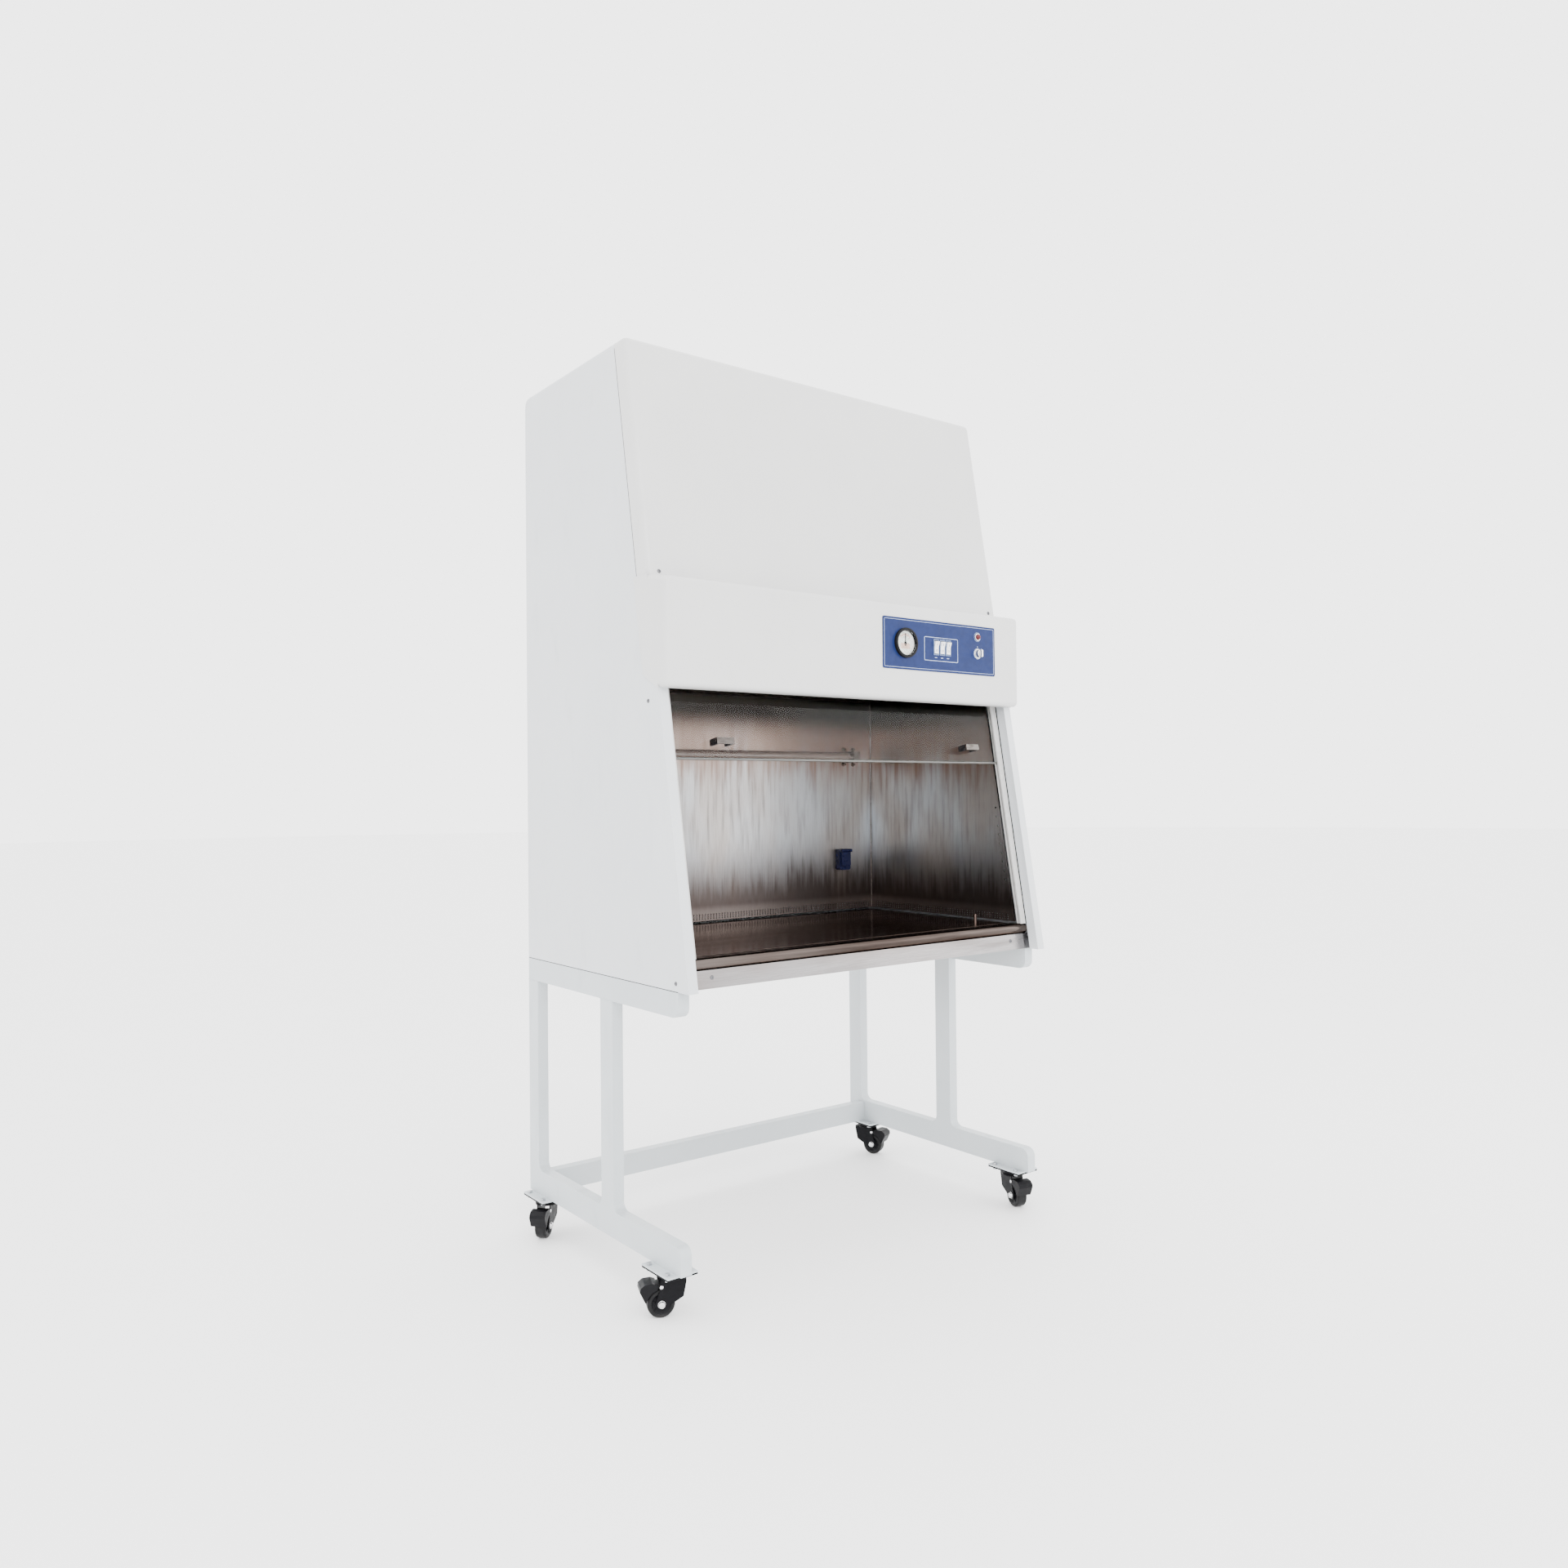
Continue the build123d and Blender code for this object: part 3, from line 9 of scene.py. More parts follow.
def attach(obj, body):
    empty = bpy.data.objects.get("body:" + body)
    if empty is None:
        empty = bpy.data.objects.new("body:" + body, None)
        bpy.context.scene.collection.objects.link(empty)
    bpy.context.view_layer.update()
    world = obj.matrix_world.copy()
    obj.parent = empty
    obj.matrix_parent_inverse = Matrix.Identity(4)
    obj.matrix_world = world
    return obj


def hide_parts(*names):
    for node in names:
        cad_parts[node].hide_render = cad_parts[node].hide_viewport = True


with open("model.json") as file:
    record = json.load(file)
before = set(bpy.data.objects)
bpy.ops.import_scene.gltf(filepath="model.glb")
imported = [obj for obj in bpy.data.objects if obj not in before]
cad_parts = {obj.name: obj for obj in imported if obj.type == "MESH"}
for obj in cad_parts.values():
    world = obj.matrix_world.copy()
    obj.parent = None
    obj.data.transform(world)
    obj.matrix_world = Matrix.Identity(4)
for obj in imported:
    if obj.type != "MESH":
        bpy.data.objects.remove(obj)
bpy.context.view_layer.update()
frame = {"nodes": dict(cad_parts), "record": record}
nodes = frame["nodes"]
record = frame["record"]

MM = 0.001
LEAN = math.atan(268.4 / 1562)
UP_SLOPE = Vector((0, math.sin(LEAN), math.cos(LEAN)))
OFF_SLOPE = Vector((0, -math.cos(LEAN), math.sin(LEAN)))
SEAT_Z = 0.750
FRONT_Y = -0.410
BACK_Y = 0.410
HALF = 0.600


def face_y(z, behind=0.0):
    """Y of the cabinet's sloping front at height z, or of a line this far behind it."""
    return FRONT_Y + (z - SEAT_Z) * 268.4 / 1562 + behind


# ---- Camera --------------------------------------------------------------------------------
yaw, pitch, roll = math.radians(37.422), math.radians(0.638), math.radians(-0.536)
look = Vector((math.sin(yaw) * math.cos(pitch), math.cos(yaw) * math.cos(pitch), math.sin(pitch)))
level = Vector((math.cos(yaw), -math.sin(yaw), 0))
above = level.cross(look)
right = level * math.cos(roll) + above * math.sin(roll)
up = above * math.cos(roll) - level * math.sin(roll)
camera = bpy.data.objects.new("camera", bpy.data.cameras.new("camera"))
camera.matrix_world = Matrix.Translation((-2.0072, -2.6046, 1.1890)) @ Matrix((right, up, -look)).transposed().to_4x4()
camera.data.sensor_width = 36
camera.data.lens = 36 * 1427.69 / 1920
bpy.context.scene.collection.objects.link(camera)
bpy.context.scene.camera = camera


# ---- Materials -----------------------------------------------------------------------------
class Maker:
    """Builds one procedural material, node by node."""

    def __init__(self, name, **sockets):
        self.material = bpy.data.materials.new(name)
        self.material.use_nodes = True
        self.tree = self.material.node_tree
        self.tree.nodes.clear()
        output = self.tree.nodes.new("ShaderNodeOutputMaterial")
        self.shader = self.tree.nodes.new("ShaderNodeBsdfPrincipled")
        self.tree.links.new(self.shader.outputs[0], output.inputs[0])
        for socket, value in sockets.items():
            self.shader.inputs[socket.replace("_", " ")].default_value = value
        self.place = self.add("ShaderNodeTexCoord").outputs["Object"]
        self.heights = []

    def add(self, kind, **inputs):
        node = self.tree.nodes.new(kind)
        for key, value in inputs.items():
            self.plug(node.inputs[key.replace("_", " ")], value)
        return node

    def plug(self, socket, value):
        if isinstance(value, bpy.types.NodeSocket):
            self.tree.links.new(value, socket)
        else:
            socket.default_value = value

    def noise(self, scale, detail=3.0, stretch=(1, 1, 1), rough=0.55):
        """Noise with features about 1/scale metres long, drawn out by stretch along each axis."""
        mapping = self.add("ShaderNodeMapping", Vector=self.place)
        mapping.inputs["Scale"].default_value = [scale / s for s in stretch]
        node = self.add("ShaderNodeTexNoise", Vector=mapping.outputs[0], Scale=1.0, Detail=detail)
        node.inputs["Roughness"].default_value = rough
        return node.outputs["Fac"]

    def remap(self, value, low, high, to_low=0.0, to_high=1.0):
        node = self.add("ShaderNodeMapRange", Value=value)
        node.interpolation_type = "SMOOTHSTEP"
        for key, number in zip(("From Min", "From Max", "To Min", "To Max"), (low, high, to_low, to_high)):
            node.inputs[key].default_value = number
        return node.outputs[0]

    def math(self, operation, a, b=0.0):
        node = self.tree.nodes.new("ShaderNodeMath")
        node.operation = operation
        self.plug(node.inputs[0], a)
        self.plug(node.inputs[1], b)
        return node.outputs[0]

    def mix(self, factor, a, b, blend="MIX"):
        node = self.tree.nodes.new("ShaderNodeMix")
        node.data_type = "RGBA"
        node.blend_type = blend
        self.plug(node.inputs[0], factor)
        for socket, value in ((node.inputs[6], a), (node.inputs[7], b)):
            self.plug(socket, value if isinstance(value, bpy.types.NodeSocket) else (*value, 1.0))
        return node.outputs[2]

    def axis(self, index):
        return self.add("ShaderNodeSeparateXYZ", Vector=self.place).outputs[index]

    def bump(self, height, depth, strength=1.0):
        """Adds a height map, depth metres deep, to the surface."""
        self.heights.append((height, depth, strength))

    def done(self, colour=None, roughness=None):
        if colour is not None:
            self.plug(self.shader.inputs["Base Color"], colour if not isinstance(colour, tuple) else (*colour, 1))
        if roughness is not None:
            self.plug(self.shader.inputs["Roughness"], roughness)
        normal = None
        for height, depth, strength in self.heights:
            node = self.add("ShaderNodeBump", Height=height)
            node.inputs["Distance"].default_value = depth
            node.inputs["Strength"].default_value = strength
            if normal:
                self.plug(node.inputs["Normal"], normal)
            normal = node.outputs[0]
        if normal:
            self.plug(self.shader.inputs["Normal"], normal)
        return self.material

    def edge(self, width):
        """1 near sharp edges and 0 on flat faces."""
        bevel = self.add("ShaderNodeBevel", Radius=width)
        bevel.samples = 4
        plain = self.add("ShaderNodeNewGeometry").outputs["Normal"]
        dot = self.tree.nodes.new("ShaderNodeVectorMath")
        dot.operation = "DOT_PRODUCT"
        self.plug(dot.inputs[0], bevel.outputs[0])
        self.plug(dot.inputs[1], plain)
        return self.remap(dot.outputs["Value"], 0.999, 0.93)


def paint(name, colour, shade, gloss=0.36):
    """Powder coat: fine orange peel, faint cloudy tint, darker vertical smears and fine specks."""
    m = Maker(name, Coat_Weight=0.12, Coat_Roughness=0.25)
    cloud = m.remap(m.noise(3.0, 4), 0.35, 0.7)
    base = m.mix(cloud, colour, shade)
    smear = m.remap(m.noise(18.0, 5, (1, 1, 3)), 0.55, 0.8, 0.0, 0.35)
    base = m.mix(smear, base, [c * 0.94 for c in shade])
    speck = m.remap(m.noise(420.0, 2), 0.70, 0.80, 0.0, 0.25)
    base = m.mix(speck, base, [c * 0.8 for c in shade])
    peel = m.noise(900.0, 2)
    m.bump(peel, 0.00006, 0.25)
    m.bump(m.noise(6.0, 2), 0.0006, 0.25)
    rough = m.math("ADD", m.remap(m.noise(9.0, 4), 0.3, 0.7, gloss - 0.05, gloss + 0.08), smear)
    return m.done(base, rough)


def steel(name, stretch, light, warm, dark, rough=0.24, shade=None, contrast=0.6, edge=(0.6, 0.58, 0.56),
          streak=24.0, cloud=0.06):
    """Brushed stainless: fine brush lines, broad soft streaks and handling marks."""
    m = Maker(name, Metallic=1.0, Specular_Tint=(*edge, 1.0))
    fine = m.noise(700.0, 3, stretch, 0.7)
    medium = m.noise(streak, 4, [1 + (s - 1) * 0.3 for s in stretch], 0.55)
    broad = m.noise(5.0, 3, [1 + (s - 1) * cloud for s in stretch], 0.5)
    base = m.mix(m.remap(broad, 0.36, 0.64), light, warm)
    base = m.mix(m.remap(medium, 0.42, 0.76, 0.0, contrast), base, dark)
    base = m.mix(m.remap(fine, 0.35, 0.7, 0.0, 0.16), base, [c * 0.6 for c in dark])
    if shade:
        base = shade(m, base, medium, broad)
    m.bump(fine, 0.00003, 0.3)
    m.bump(m.noise(4.0, 2), 0.0015, 0.12)
    roughness = m.math("ADD", m.remap(medium, 0.3, 0.75, rough, rough + 0.10), m.remap(fine, 0.3, 0.8, 0, 0.06))
    return m.done(base, roughness)


def wall_shade(m, base, medium, broad):
    """Painted light on the walls: painted shade darker to the left and brown low down, a lighter band at the foot, a
    painted rosy highlight under the lamps, painted shade under the ceiling.
    """
    uneven = m.math("ADD", m.math("MULTIPLY", medium, 0.20), m.math("MULTIPLY", broad, 0.12))
    height = m.math("ADD", m.axis(2), uneven)
    # Painted shade: the wall is darker towards the left, below about 1.4 m.
    left = m.remap(m.math("ADD", m.axis(0), uneven), 0.12, -0.42, 0.0, 0.72)
    left_painted_shade = m.math("MULTIPLY", left, m.remap(height, 1.42, 1.22))
    base = m.mix(left_painted_shade, base, (0.105, 0.094, 0.090))
    # Painted shade: brown, darker towards the bottom of the walls.
    low = m.remap(height, 1.24, 1.03, 0.0, 0.92)
    base = m.mix(low, base, (0.052, 0.037, 0.032))
    # Lighter band along the very foot of the walls.
    rim = m.remap(m.axis(2), 0.874, 0.850, 0.0, 0.50)
    base = m.mix(rim, base, (0.22, 0.195, 0.185))
    # Painted highlight: a rosy tint high on the walls, near the lamps.
    pink_painted_highlight = m.remap(height, 1.37, 1.52, 0.0, 0.75)
    base = m.mix(pink_painted_highlight, base, (0.26, 0.165, 0.130))
    # Painted shade: dark under the ceiling, at the top of the walls.
    high = m.remap(m.axis(2), 1.37, 1.455, 0.0, 0.95)
    return m.mix(high, base, (0.022, 0.019, 0.018))


def moulded(name, colour, rough=0.42, grain=1400.0, metallic=0.0, depth=0.00004, wear=None, sheen=0.5):
    """Moulded plastic or a plain fitting: fine grain, uneven sheen, slight tint changes."""
    m = Maker(name, Metallic=metallic, Specular_IOR_Level=sheen)
    base = m.mix(m.remap(m.noise(60.0, 4), 0.35, 0.7), colour, [c * 0.86 for c in colour])
    scuff = m.remap(m.noise(150.0, 5, (1, 3, 1)), 0.62, 0.78, 0.0, 0.5)
    base = m.mix(scuff, base, wear or [min(1, c * 1.35 + 0.015) for c in colour])
    m.bump(m.noise(grain, 2), depth, 0.35)
    return m.done(base, m.remap(m.noise(70.0, 4), 0.3, 0.7, rough - 0.06, rough + 0.10))


def handle_look():
    """Black moulded legs under a bright strap, told apart by their distance from the glass."""
    m = Maker("handle")
    lean_back = m.math("MULTIPLY", m.math("SUBTRACT", m.axis(2), SEAT_Z), 268.4 / 1562)
    near_glass = m.math("SUBTRACT", m.math("ADD", lean_back, FRONT_Y + 0.0355), m.axis(1))
    strap = m.remap(near_glass, 0.0278, 0.0288)
    worn = m.remap(m.noise(120.0, 4, (3, 1, 1)), 0.4, 0.75)
    metal = m.mix(worn, (0.105, 0.094, 0.088), (0.060, 0.052, 0.048))
    legs = m.mix(worn, (0.010, 0.009, 0.010), (0.022, 0.020, 0.021))
    m.plug(m.shader.inputs["Metallic"], strap)
    m.bump(m.noise(900.0, 2), 0.00002, 0.3)
    return m.done(m.mix(strap, legs, metal), m.remap(worn, 0.0, 1.0, 0.20, 0.34))


def clear(name, tint, rough=0.015, ior=1.46):
    """Glass with faint smears that show in its gloss."""
    m = Maker(name, Transmission_Weight=1.0, IOR=ior)
    smear = m.remap(m.noise(9.0, 5, (1, 1, 2.5)), 0.5, 0.85, rough, rough + 0.03)
    base = m.mix(m.remap(m.noise(4.0, 3), 0.3, 0.7), tint, [c * 0.99 for c in tint])
    return m.done(base, smear)


def rubber(name):
    m = Maker(name, Specular_IOR_Level=0.15)
    base = m.mix(m.remap(m.noise(90.0, 4), 0.35, 0.7), (0.005, 0.005, 0.0055), (0.011, 0.011, 0.0115))
    dust = m.remap(m.noise(240.0, 5), 0.55, 0.75, 0.0, 0.25)
    low = m.remap(m.axis(2), 0.012, 0.0, 0.0, 0.6)
    base = m.mix(m.math("MAXIMUM", m.math("MULTIPLY", dust, 0.6), low), base, (0.045, 0.043, 0.041))
    m.bump(m.noise(900.0, 3), 0.00010, 0.5)
    return m.done(base, m.remap(dust, 0.0, 0.25, 0.46, 0.7))


def zinc(name, colour=(0.55, 0.56, 0.58), rough=0.3):
    m = Maker(name, Metallic=1.0)
    spangle = m.add("ShaderNodeTexVoronoi", Vector=m.place, Scale=160.0)
    base = m.mix(m.remap(spangle.outputs["Distance"], 0.0, 0.8), colour, [c * 0.72 for c in colour])
    base = m.mix(m.remap(m.noise(30, 4), 0.5, 0.8, 0, 0.5), base, [c * 0.5 for c in colour])
    m.bump(m.noise(500.0, 3), 0.00004, 0.4)
    return m.done(base, m.remap(m.noise(80.0, 3), 0.3, 0.7, rough - 0.06, rough + 0.12))


def pleated(name):
    """Filter paper folded into narrow pleats along Y, with painted shade darkening the pleat troughs."""
    m = Maker(name)
    wave = m.add("ShaderNodeTexWave", Vector=m.place, Scale=52.0, Distortion=0.6)
    wave.bands_direction = "X"
    base = m.mix(wave.outputs["Fac"], (0.62, 0.61, 0.57), (0.86, 0.86, 0.82))
    m.bump(wave.outputs["Fac"], 0.004, 0.8)
    m.bump(m.noise(600.0, 3), 0.0001, 0.4)
    return m.done(base, m.remap(m.noise(40.0, 3), 0.3, 0.7, 0.75, 0.9))


WALL_STEEL = ((0.43, 0.45, 0.475), (0.36, 0.335, 0.32), (0.115, 0.100, 0.094))
looks = {
    "white_paint": paint("white_paint", (0.545, 0.565, 0.585), (0.525, 0.545, 0.565)),
    "warm_paint": paint("warm_paint", (0.55, 0.55, 0.545), (0.53, 0.53, 0.525)),
    "grey_paint": paint("grey_paint", (0.46, 0.495, 0.515), (0.43, 0.465, 0.485), 0.40),
    "wall_steel": steel("wall_steel", (1, 1, 40), *WALL_STEEL, rough=0.30, shade=wall_shade, contrast=0.42,
                        streak=75.0, cloud=0.02),
    "tray_steel": steel("tray_steel", (40, 1, 1), (0.30, 0.25, 0.23), (0.22, 0.17, 0.15), (0.10, 0.075, 0.065), 0.07,
                        edge=(0.50, 0.44, 0.41)),
    "front_steel": steel("front_steel", (40, 1, 1), (0.27, 0.26, 0.262), (0.21, 0.18, 0.168), (0.09, 0.075, 0.07), 0.20),
    # Painted reflection: the nose's dark metal colour stands in for the dark surroundings it reflects.
    "nose_steel": steel("nose_steel", (40, 1, 1), (0.105, 0.088, 0.080), (0.062, 0.047, 0.041), (0.022, 0.016, 0.014), 0.12, contrast=0.9,
                        edge=(0.38, 0.34, 0.32)),
    "handle": handle_look(),
    "glass": clear("glass", (0.95, 0.965, 0.955), ior=1.14),
    # Painted reflection: the UV tube's brownish colour stands in for what its clear glass reflects and shows through.
    "lamp_glass": moulded("lamp_glass", (0.17, 0.125, 0.108), 0.14, 500.0, 0.0, 0.00001, (0.22, 0.16, 0.14)),
    "lamp_opal": moulded("lamp_opal", (0.80, 0.80, 0.78), 0.16, 500.0, 0.0, 0.00001),
    "filter_media": pleated("filter_media"),
    "zinc": zinc("zinc"),
    "fan_metal": zinc("fan_metal", (0.68, 0.69, 0.70), 0.34),
    "iron": moulded("iron", (0.10, 0.10, 0.105), 0.55, 500.0, 0.8, 0.0002),
    "guide_plastic": moulded("guide_plastic", (0.50, 0.49, 0.48), 0.4),
    "black_plastic": moulded("black_plastic", (0.005, 0.005, 0.006), 0.38, sheen=0.1),
    "black_steel": moulded("black_steel", (0.004, 0.004, 0.005), 0.34, 900.0, 0.0, 0.00006, (0.013, 0.013, 0.014), 0.08),
    "rubber": rubber("rubber"),
    "chrome": moulded("chrome", (0.70, 0.70, 0.71), 0.16, 900.0, 1.0, 0.00001),
    "blue_plate": moulded("blue_plate", (0.0088, 0.0185, 0.080), 0.38, 1800.0, 0.0, 0.00003, (0.0125, 0.026, 0.10), 0.12),
    "navy_plastic": moulded("navy_plastic", (0.004, 0.006, 0.032), 0.30, sheen=0.2),
    "white_plastic": moulded("white_plastic", (0.80, 0.80, 0.82), 0.25),
    "grey_plastic": moulded("grey_plastic", (0.10, 0.14, 0.25), 0.35, sheen=0.2),
    "holder_plastic": moulded("holder_plastic", (0.105, 0.086, 0.078), 0.35),
    "lamp_metal": moulded("lamp_metal", (0.20, 0.165, 0.150), 0.22, 900.0, 1.0, 0.00001),
    "screw_metal": zinc("screw_metal", (0.17, 0.17, 0.18), 0.35),
    "glass_edge": moulded("glass_edge", (0.085, 0.085, 0.080), 0.15, 900.0, 0.0, 0.00001),
    "red_lens": moulded("red_lens", (0.085, 0.003, 0.007), 0.12, sheen=0.3),
    "dial_white": moulded("dial_white", (0.86, 0.855, 0.83), 0.5),
    "dial_pink": moulded("dial_pink", (0.72, 0.48, 0.40), 0.5),
    "print_white": moulded("print_white", (0.42, 0.50, 0.72), 0.5),
    "ink": moulded("ink", (0.02, 0.02, 0.025), 0.6),
    # Near-black look for the hood seams and for the painted gap shadows at the guides and the seat.
    "seam_and_gap_shadow": moulded("seam_and_gap_shadow", (0.02, 0.02, 0.022), 0.7, sheen=0.1),
}
LOOK_OF = {
    "grey_paint": ["stand_frame_left", "stand_frame_right", "cross_rails"],
    "white_paint": ["side_panel_left", "side_panel_right", "rear_panel", "roof_panel", "exhaust_grille"],
    "warm_paint": ["hood_front_panel", "console_housing"],
    "wall_steel": ["back_baffle", "inner_wall_left", "inner_wall_right", "ceiling_diffuser"],
    "tray_steel": ["work_tray", "base_pan"],
    "front_steel": ["front_fascia"],
    "nose_steel": ["front_airfoil"],
    "glass": ["sash_glass", "gauge_lens"],
    "lamp_glass": ["uv_lamp"],
    "lamp_opal": ["work_lamp"],
    "filter_media": ["supply_filter", "exhaust_filter"],
    "zinc": ["plenum_deck", "blower_housing", "pulley_shaft", "caster_bolts", "body_screws"],
    "fan_metal": ["blower_impeller"],
    "iron": ["counterweights", "blower_motor"],
    "guide_plastic": ["sash_guides"],
    "holder_plastic": ["lamp_holders"],
    "navy_plastic": ["socket_base", "socket_cover"],
    "blue_plate": ["control_plate"],
    "black_plastic": ["gauge_case", "gauge_needle", "power_inlet"],
    "grey_plastic": ["switch_bodies"],
    "white_plastic": ["rocker_switch_1", "rocker_switch_2", "rocker_switch_3"],
    "red_lens": ["indicator_lamp"],
    "chrome": ["key_switch"],
    "handle": ["sash_handles"],
    "black_steel": ["caster_plates"],
}
for corner in ("front_left", "front_right", "rear_left", "rear_right"):
    LOOK_OF["black_steel"].append(f"caster_fork_{corner}")
    LOOK_OF["rubber"] = LOOK_OF.get("rubber", []) + [f"caster_wheel_{corner}"]
    LOOK_OF["black_plastic"].append(f"brake_pedal_{corner}")
for look_name, names in LOOK_OF.items():
    for name in names:
        for slot in nodes[name].material_slots:
            slot.material = looks[look_name]


# ---- Floor and light -----------------------------------------------------------------------
def link(name, mesh, look_name):
    piece = bpy.data.objects.new(name, mesh)
    bpy.context.scene.collection.objects.link(piece)
    mesh.materials.append(looks[look_name])
    return piece


floor_look = Maker("floor", Roughness=0.6)
floor_tint = floor_look.mix(floor_look.noise(2.0, 3), (0.93, 0.93, 0.93), (0.90, 0.90, 0.90))
looks["floor"] = floor_look.done(floor_tint)
shape = bmesh.new()
bmesh.ops.create_circle(shape, cap_ends=True, radius=40, segments=96)
floor_mesh = bpy.data.meshes.new("floor")
shape.to_mesh(floor_mesh)
shape.free()
link("floor", floor_mesh, "floor")

world = bpy.data.worlds.new("studio")
world.use_nodes = True
world.node_tree.nodes["Background"].inputs[0].default_value = (1.0, 1.0, 1.0, 1)
world.node_tree.nodes["Background"].inputs[1].default_value = 4.0
bpy.context.scene.world = world


def softbox(name, place, target, size, power, colour=(1, 1, 1)):
    light = bpy.data.lights.new(name, "AREA")
    light.shape = "RECTANGLE"
    light.size, light.size_y = size
    light.energy = power
    light.color = colour
    lamp = bpy.data.objects.new(name, light)
    lamp.location = place
    lamp.rotation_euler = (Vector(target) - Vector(place)).to_track_quat("-Z", "Y").to_euler()
    bpy.context.scene.collection.objects.link(lamp)


softbox("key", (-1.8, -4.2, 3.6), (0, 0, 1.2), (2.6, 2.0), 110)
softbox("fill", (3.6, -3.0, 2.2), (0, 0, 1.0), (2.4, 2.4), 40, (1.0, 0.97, 0.94))
softbox("top", (0, 0.2, 5.0), (0, 0, 0), (3.0, 3.0), 30)


# ---- Mesh tools ----------------------------------------------------------------------------
def finish_mesh(name, shape, look_name, body, smooth=0.6):
    """Turns a bmesh into a piece that rides on a body."""
    bmesh.ops.remove_doubles(shape, verts=shape.verts, dist=1e-7)
    bmesh.ops.recalc_face_normals(shape, faces=shape.faces)
    for face in shape.faces:
        face.smooth = True
    for edge in shape.edges:
        if len(edge.link_faces) == 2 and edge.calc_face_angle(0) > smooth:
            edge.smooth = False
    mesh = bpy.data.meshes.new(name)
    shape.to_mesh(mesh)
    shape.free()
    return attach(link(name, mesh, look_name), body)


def frame_of(origin, normal, side=None):
    """Matrix whose Z is normal and whose X is side, at origin."""
    z = Vector(normal).normalized()
    x = Vector(side) if side else z.orthogonal()
    x = (x - z * x.dot(z)).normalized()
    return Matrix.Translation(origin) @ Matrix((x, z.cross(x), z)).transposed().to_4x4()


def lathe(shape, profile, matrix, steps=32):
    """Turns a closed or open outline of (radius, height) about the matrix's Z."""
    rings = []
    for r, h in profile:
        if r < 1e-9:
            rings.append([shape.verts.new(matrix @ Vector((0, 0, h)))])
            continue
        ring = []
        for i in range(steps):
            a = 2 * math.pi * i / steps
            ring.append(shape.verts.new(matrix @ Vector((r * math.cos(a), r * math.sin(a), h))))
        rings.append(ring)
    for low, high in zip(rings, rings[1:]):
        for i in range(steps):
            j = (i + 1) % steps
            corners = [low[i % len(low)], low[j % len(low)], high[j % len(high)], high[i % len(high)]]
            unique = [v for n, v in enumerate(corners) if v not in corners[:n]]
            if len(unique) > 2:
                shape.faces.new(unique)


def slab(shape, outline, matrix, low, high, bevel=0.0):
    """Extrudes an outline of (x, y) points between two heights, with its upper rim bevelled."""
    levels = [(low, 0.0), (high - bevel, 0.0)] + ([(high, bevel)] if bevel else [])
    centre = Vector((sum(p[0] for p in outline), sum(p[1] for p in outline))) / len(outline)
    rows = []
    for h, inset in levels:
        row = []
        for x, y in outline:
            away = Vector((x, y)) - centre
            point = centre + away * (1 - inset / max(away.length, 1e-9))
            row.append(shape.verts.new(matrix @ Vector((point.x, point.y, h))))
        rows.append(row)
    count = len(outline)
    for a, b in zip(rows, rows[1:]):
        for i in range(count):
            shape.faces.new((a[i], a[(i + 1) % count], b[(i + 1) % count], b[i]))
    shape.faces.new(list(reversed(rows[0])))
    shape.faces.new(rows[-1])


def rounded(width, height, radius, steps=5, centre=(0, 0)):
    points = []
    for sx, sy, start in ((1, 1, 0), (-1, 1, 90), (-1, -1, 180), (1, -1, 270)):
        for i in range(steps + 1):
            a = math.radians(start + 90 * i / steps)
            x = centre[0] + sx * (width / 2 - radius) + radius * math.cos(a)
            y = centre[1] + sy * (height / 2 - radius) + radius * math.sin(a)
            points.append((x, y))
    return points


def tube(shape, path, radius, steps=10, closed=False, wobble=0.0):
    """A round bead along a path of points."""
    count = len(path)
    rings = []
    for i, point in enumerate(path):
        before = path[i - 1] if i or closed else point
        after = path[(i + 1) % count] if i + 1 < count or closed else point
        matrix = frame_of(point, after - before, (0.31, 0.53, 0.79))
        r = radius * (1 + wobble * math.sin(i * 2.4))
        rings.append([
            shape.verts.new(matrix @ Vector((r * math.cos(2 * math.pi * k / steps), r * math.sin(2 * math.pi * k / steps), 0)))
            for k in range(steps)
        ])
    pairs = list(zip(rings, rings[1:])) + ([(rings[-1], rings[0])] if closed else [])
    for a, b in pairs:
        for k in range(steps):
            shape.faces.new((a[k], a[(k + 1) % steps], b[(k + 1) % steps], b[k]))
    if not closed:
        shape.faces.new(list(reversed(rings[0])))
        shape.faces.new(rings[-1])


# ---- Screws --------------------------------------------------------------------------------
def screw(shape, spot, normal, radius=5 * MM, height=2 * MM, turn=0.4, steps=32):
    """A domed head with a cross recess."""
    matrix = frame_of(spot, normal)
    profile = [(radius, 0, 0), (radius, 0.35, 0), (radius * 0.88, 0.72, 0), (radius * 0.66, 0.95, 0),
               (radius * 0.56, 1.0, 1), (radius * 0.48, 0.45, 1), (0, 0.4, 0)]
    rings = []
    for r, h, lobed in profile:
        ring = []
        for i in range(steps):
            a = 2 * math.pi * i / steps
            reach = 0.36 + 0.64 * abs(math.cos(2 * a)) ** 4 if lobed else 1.0
            x, y = r * reach * math.cos(a + turn), r * reach * math.sin(a + turn)
            ring.append(shape.verts.new(matrix @ Vector((x, y, h * height))))
            if r == 0:
                ring = [ring[0]] * steps
                break
        rings.append(ring)
    for low, high in zip(rings, rings[1:]):
        for i in range(steps):
            corners = [low[i], low[(i + 1) % steps], high[(i + 1) % steps], high[i]]
            shape.faces.new([v for n, v in enumerate(corners) if v not in corners[:n]])


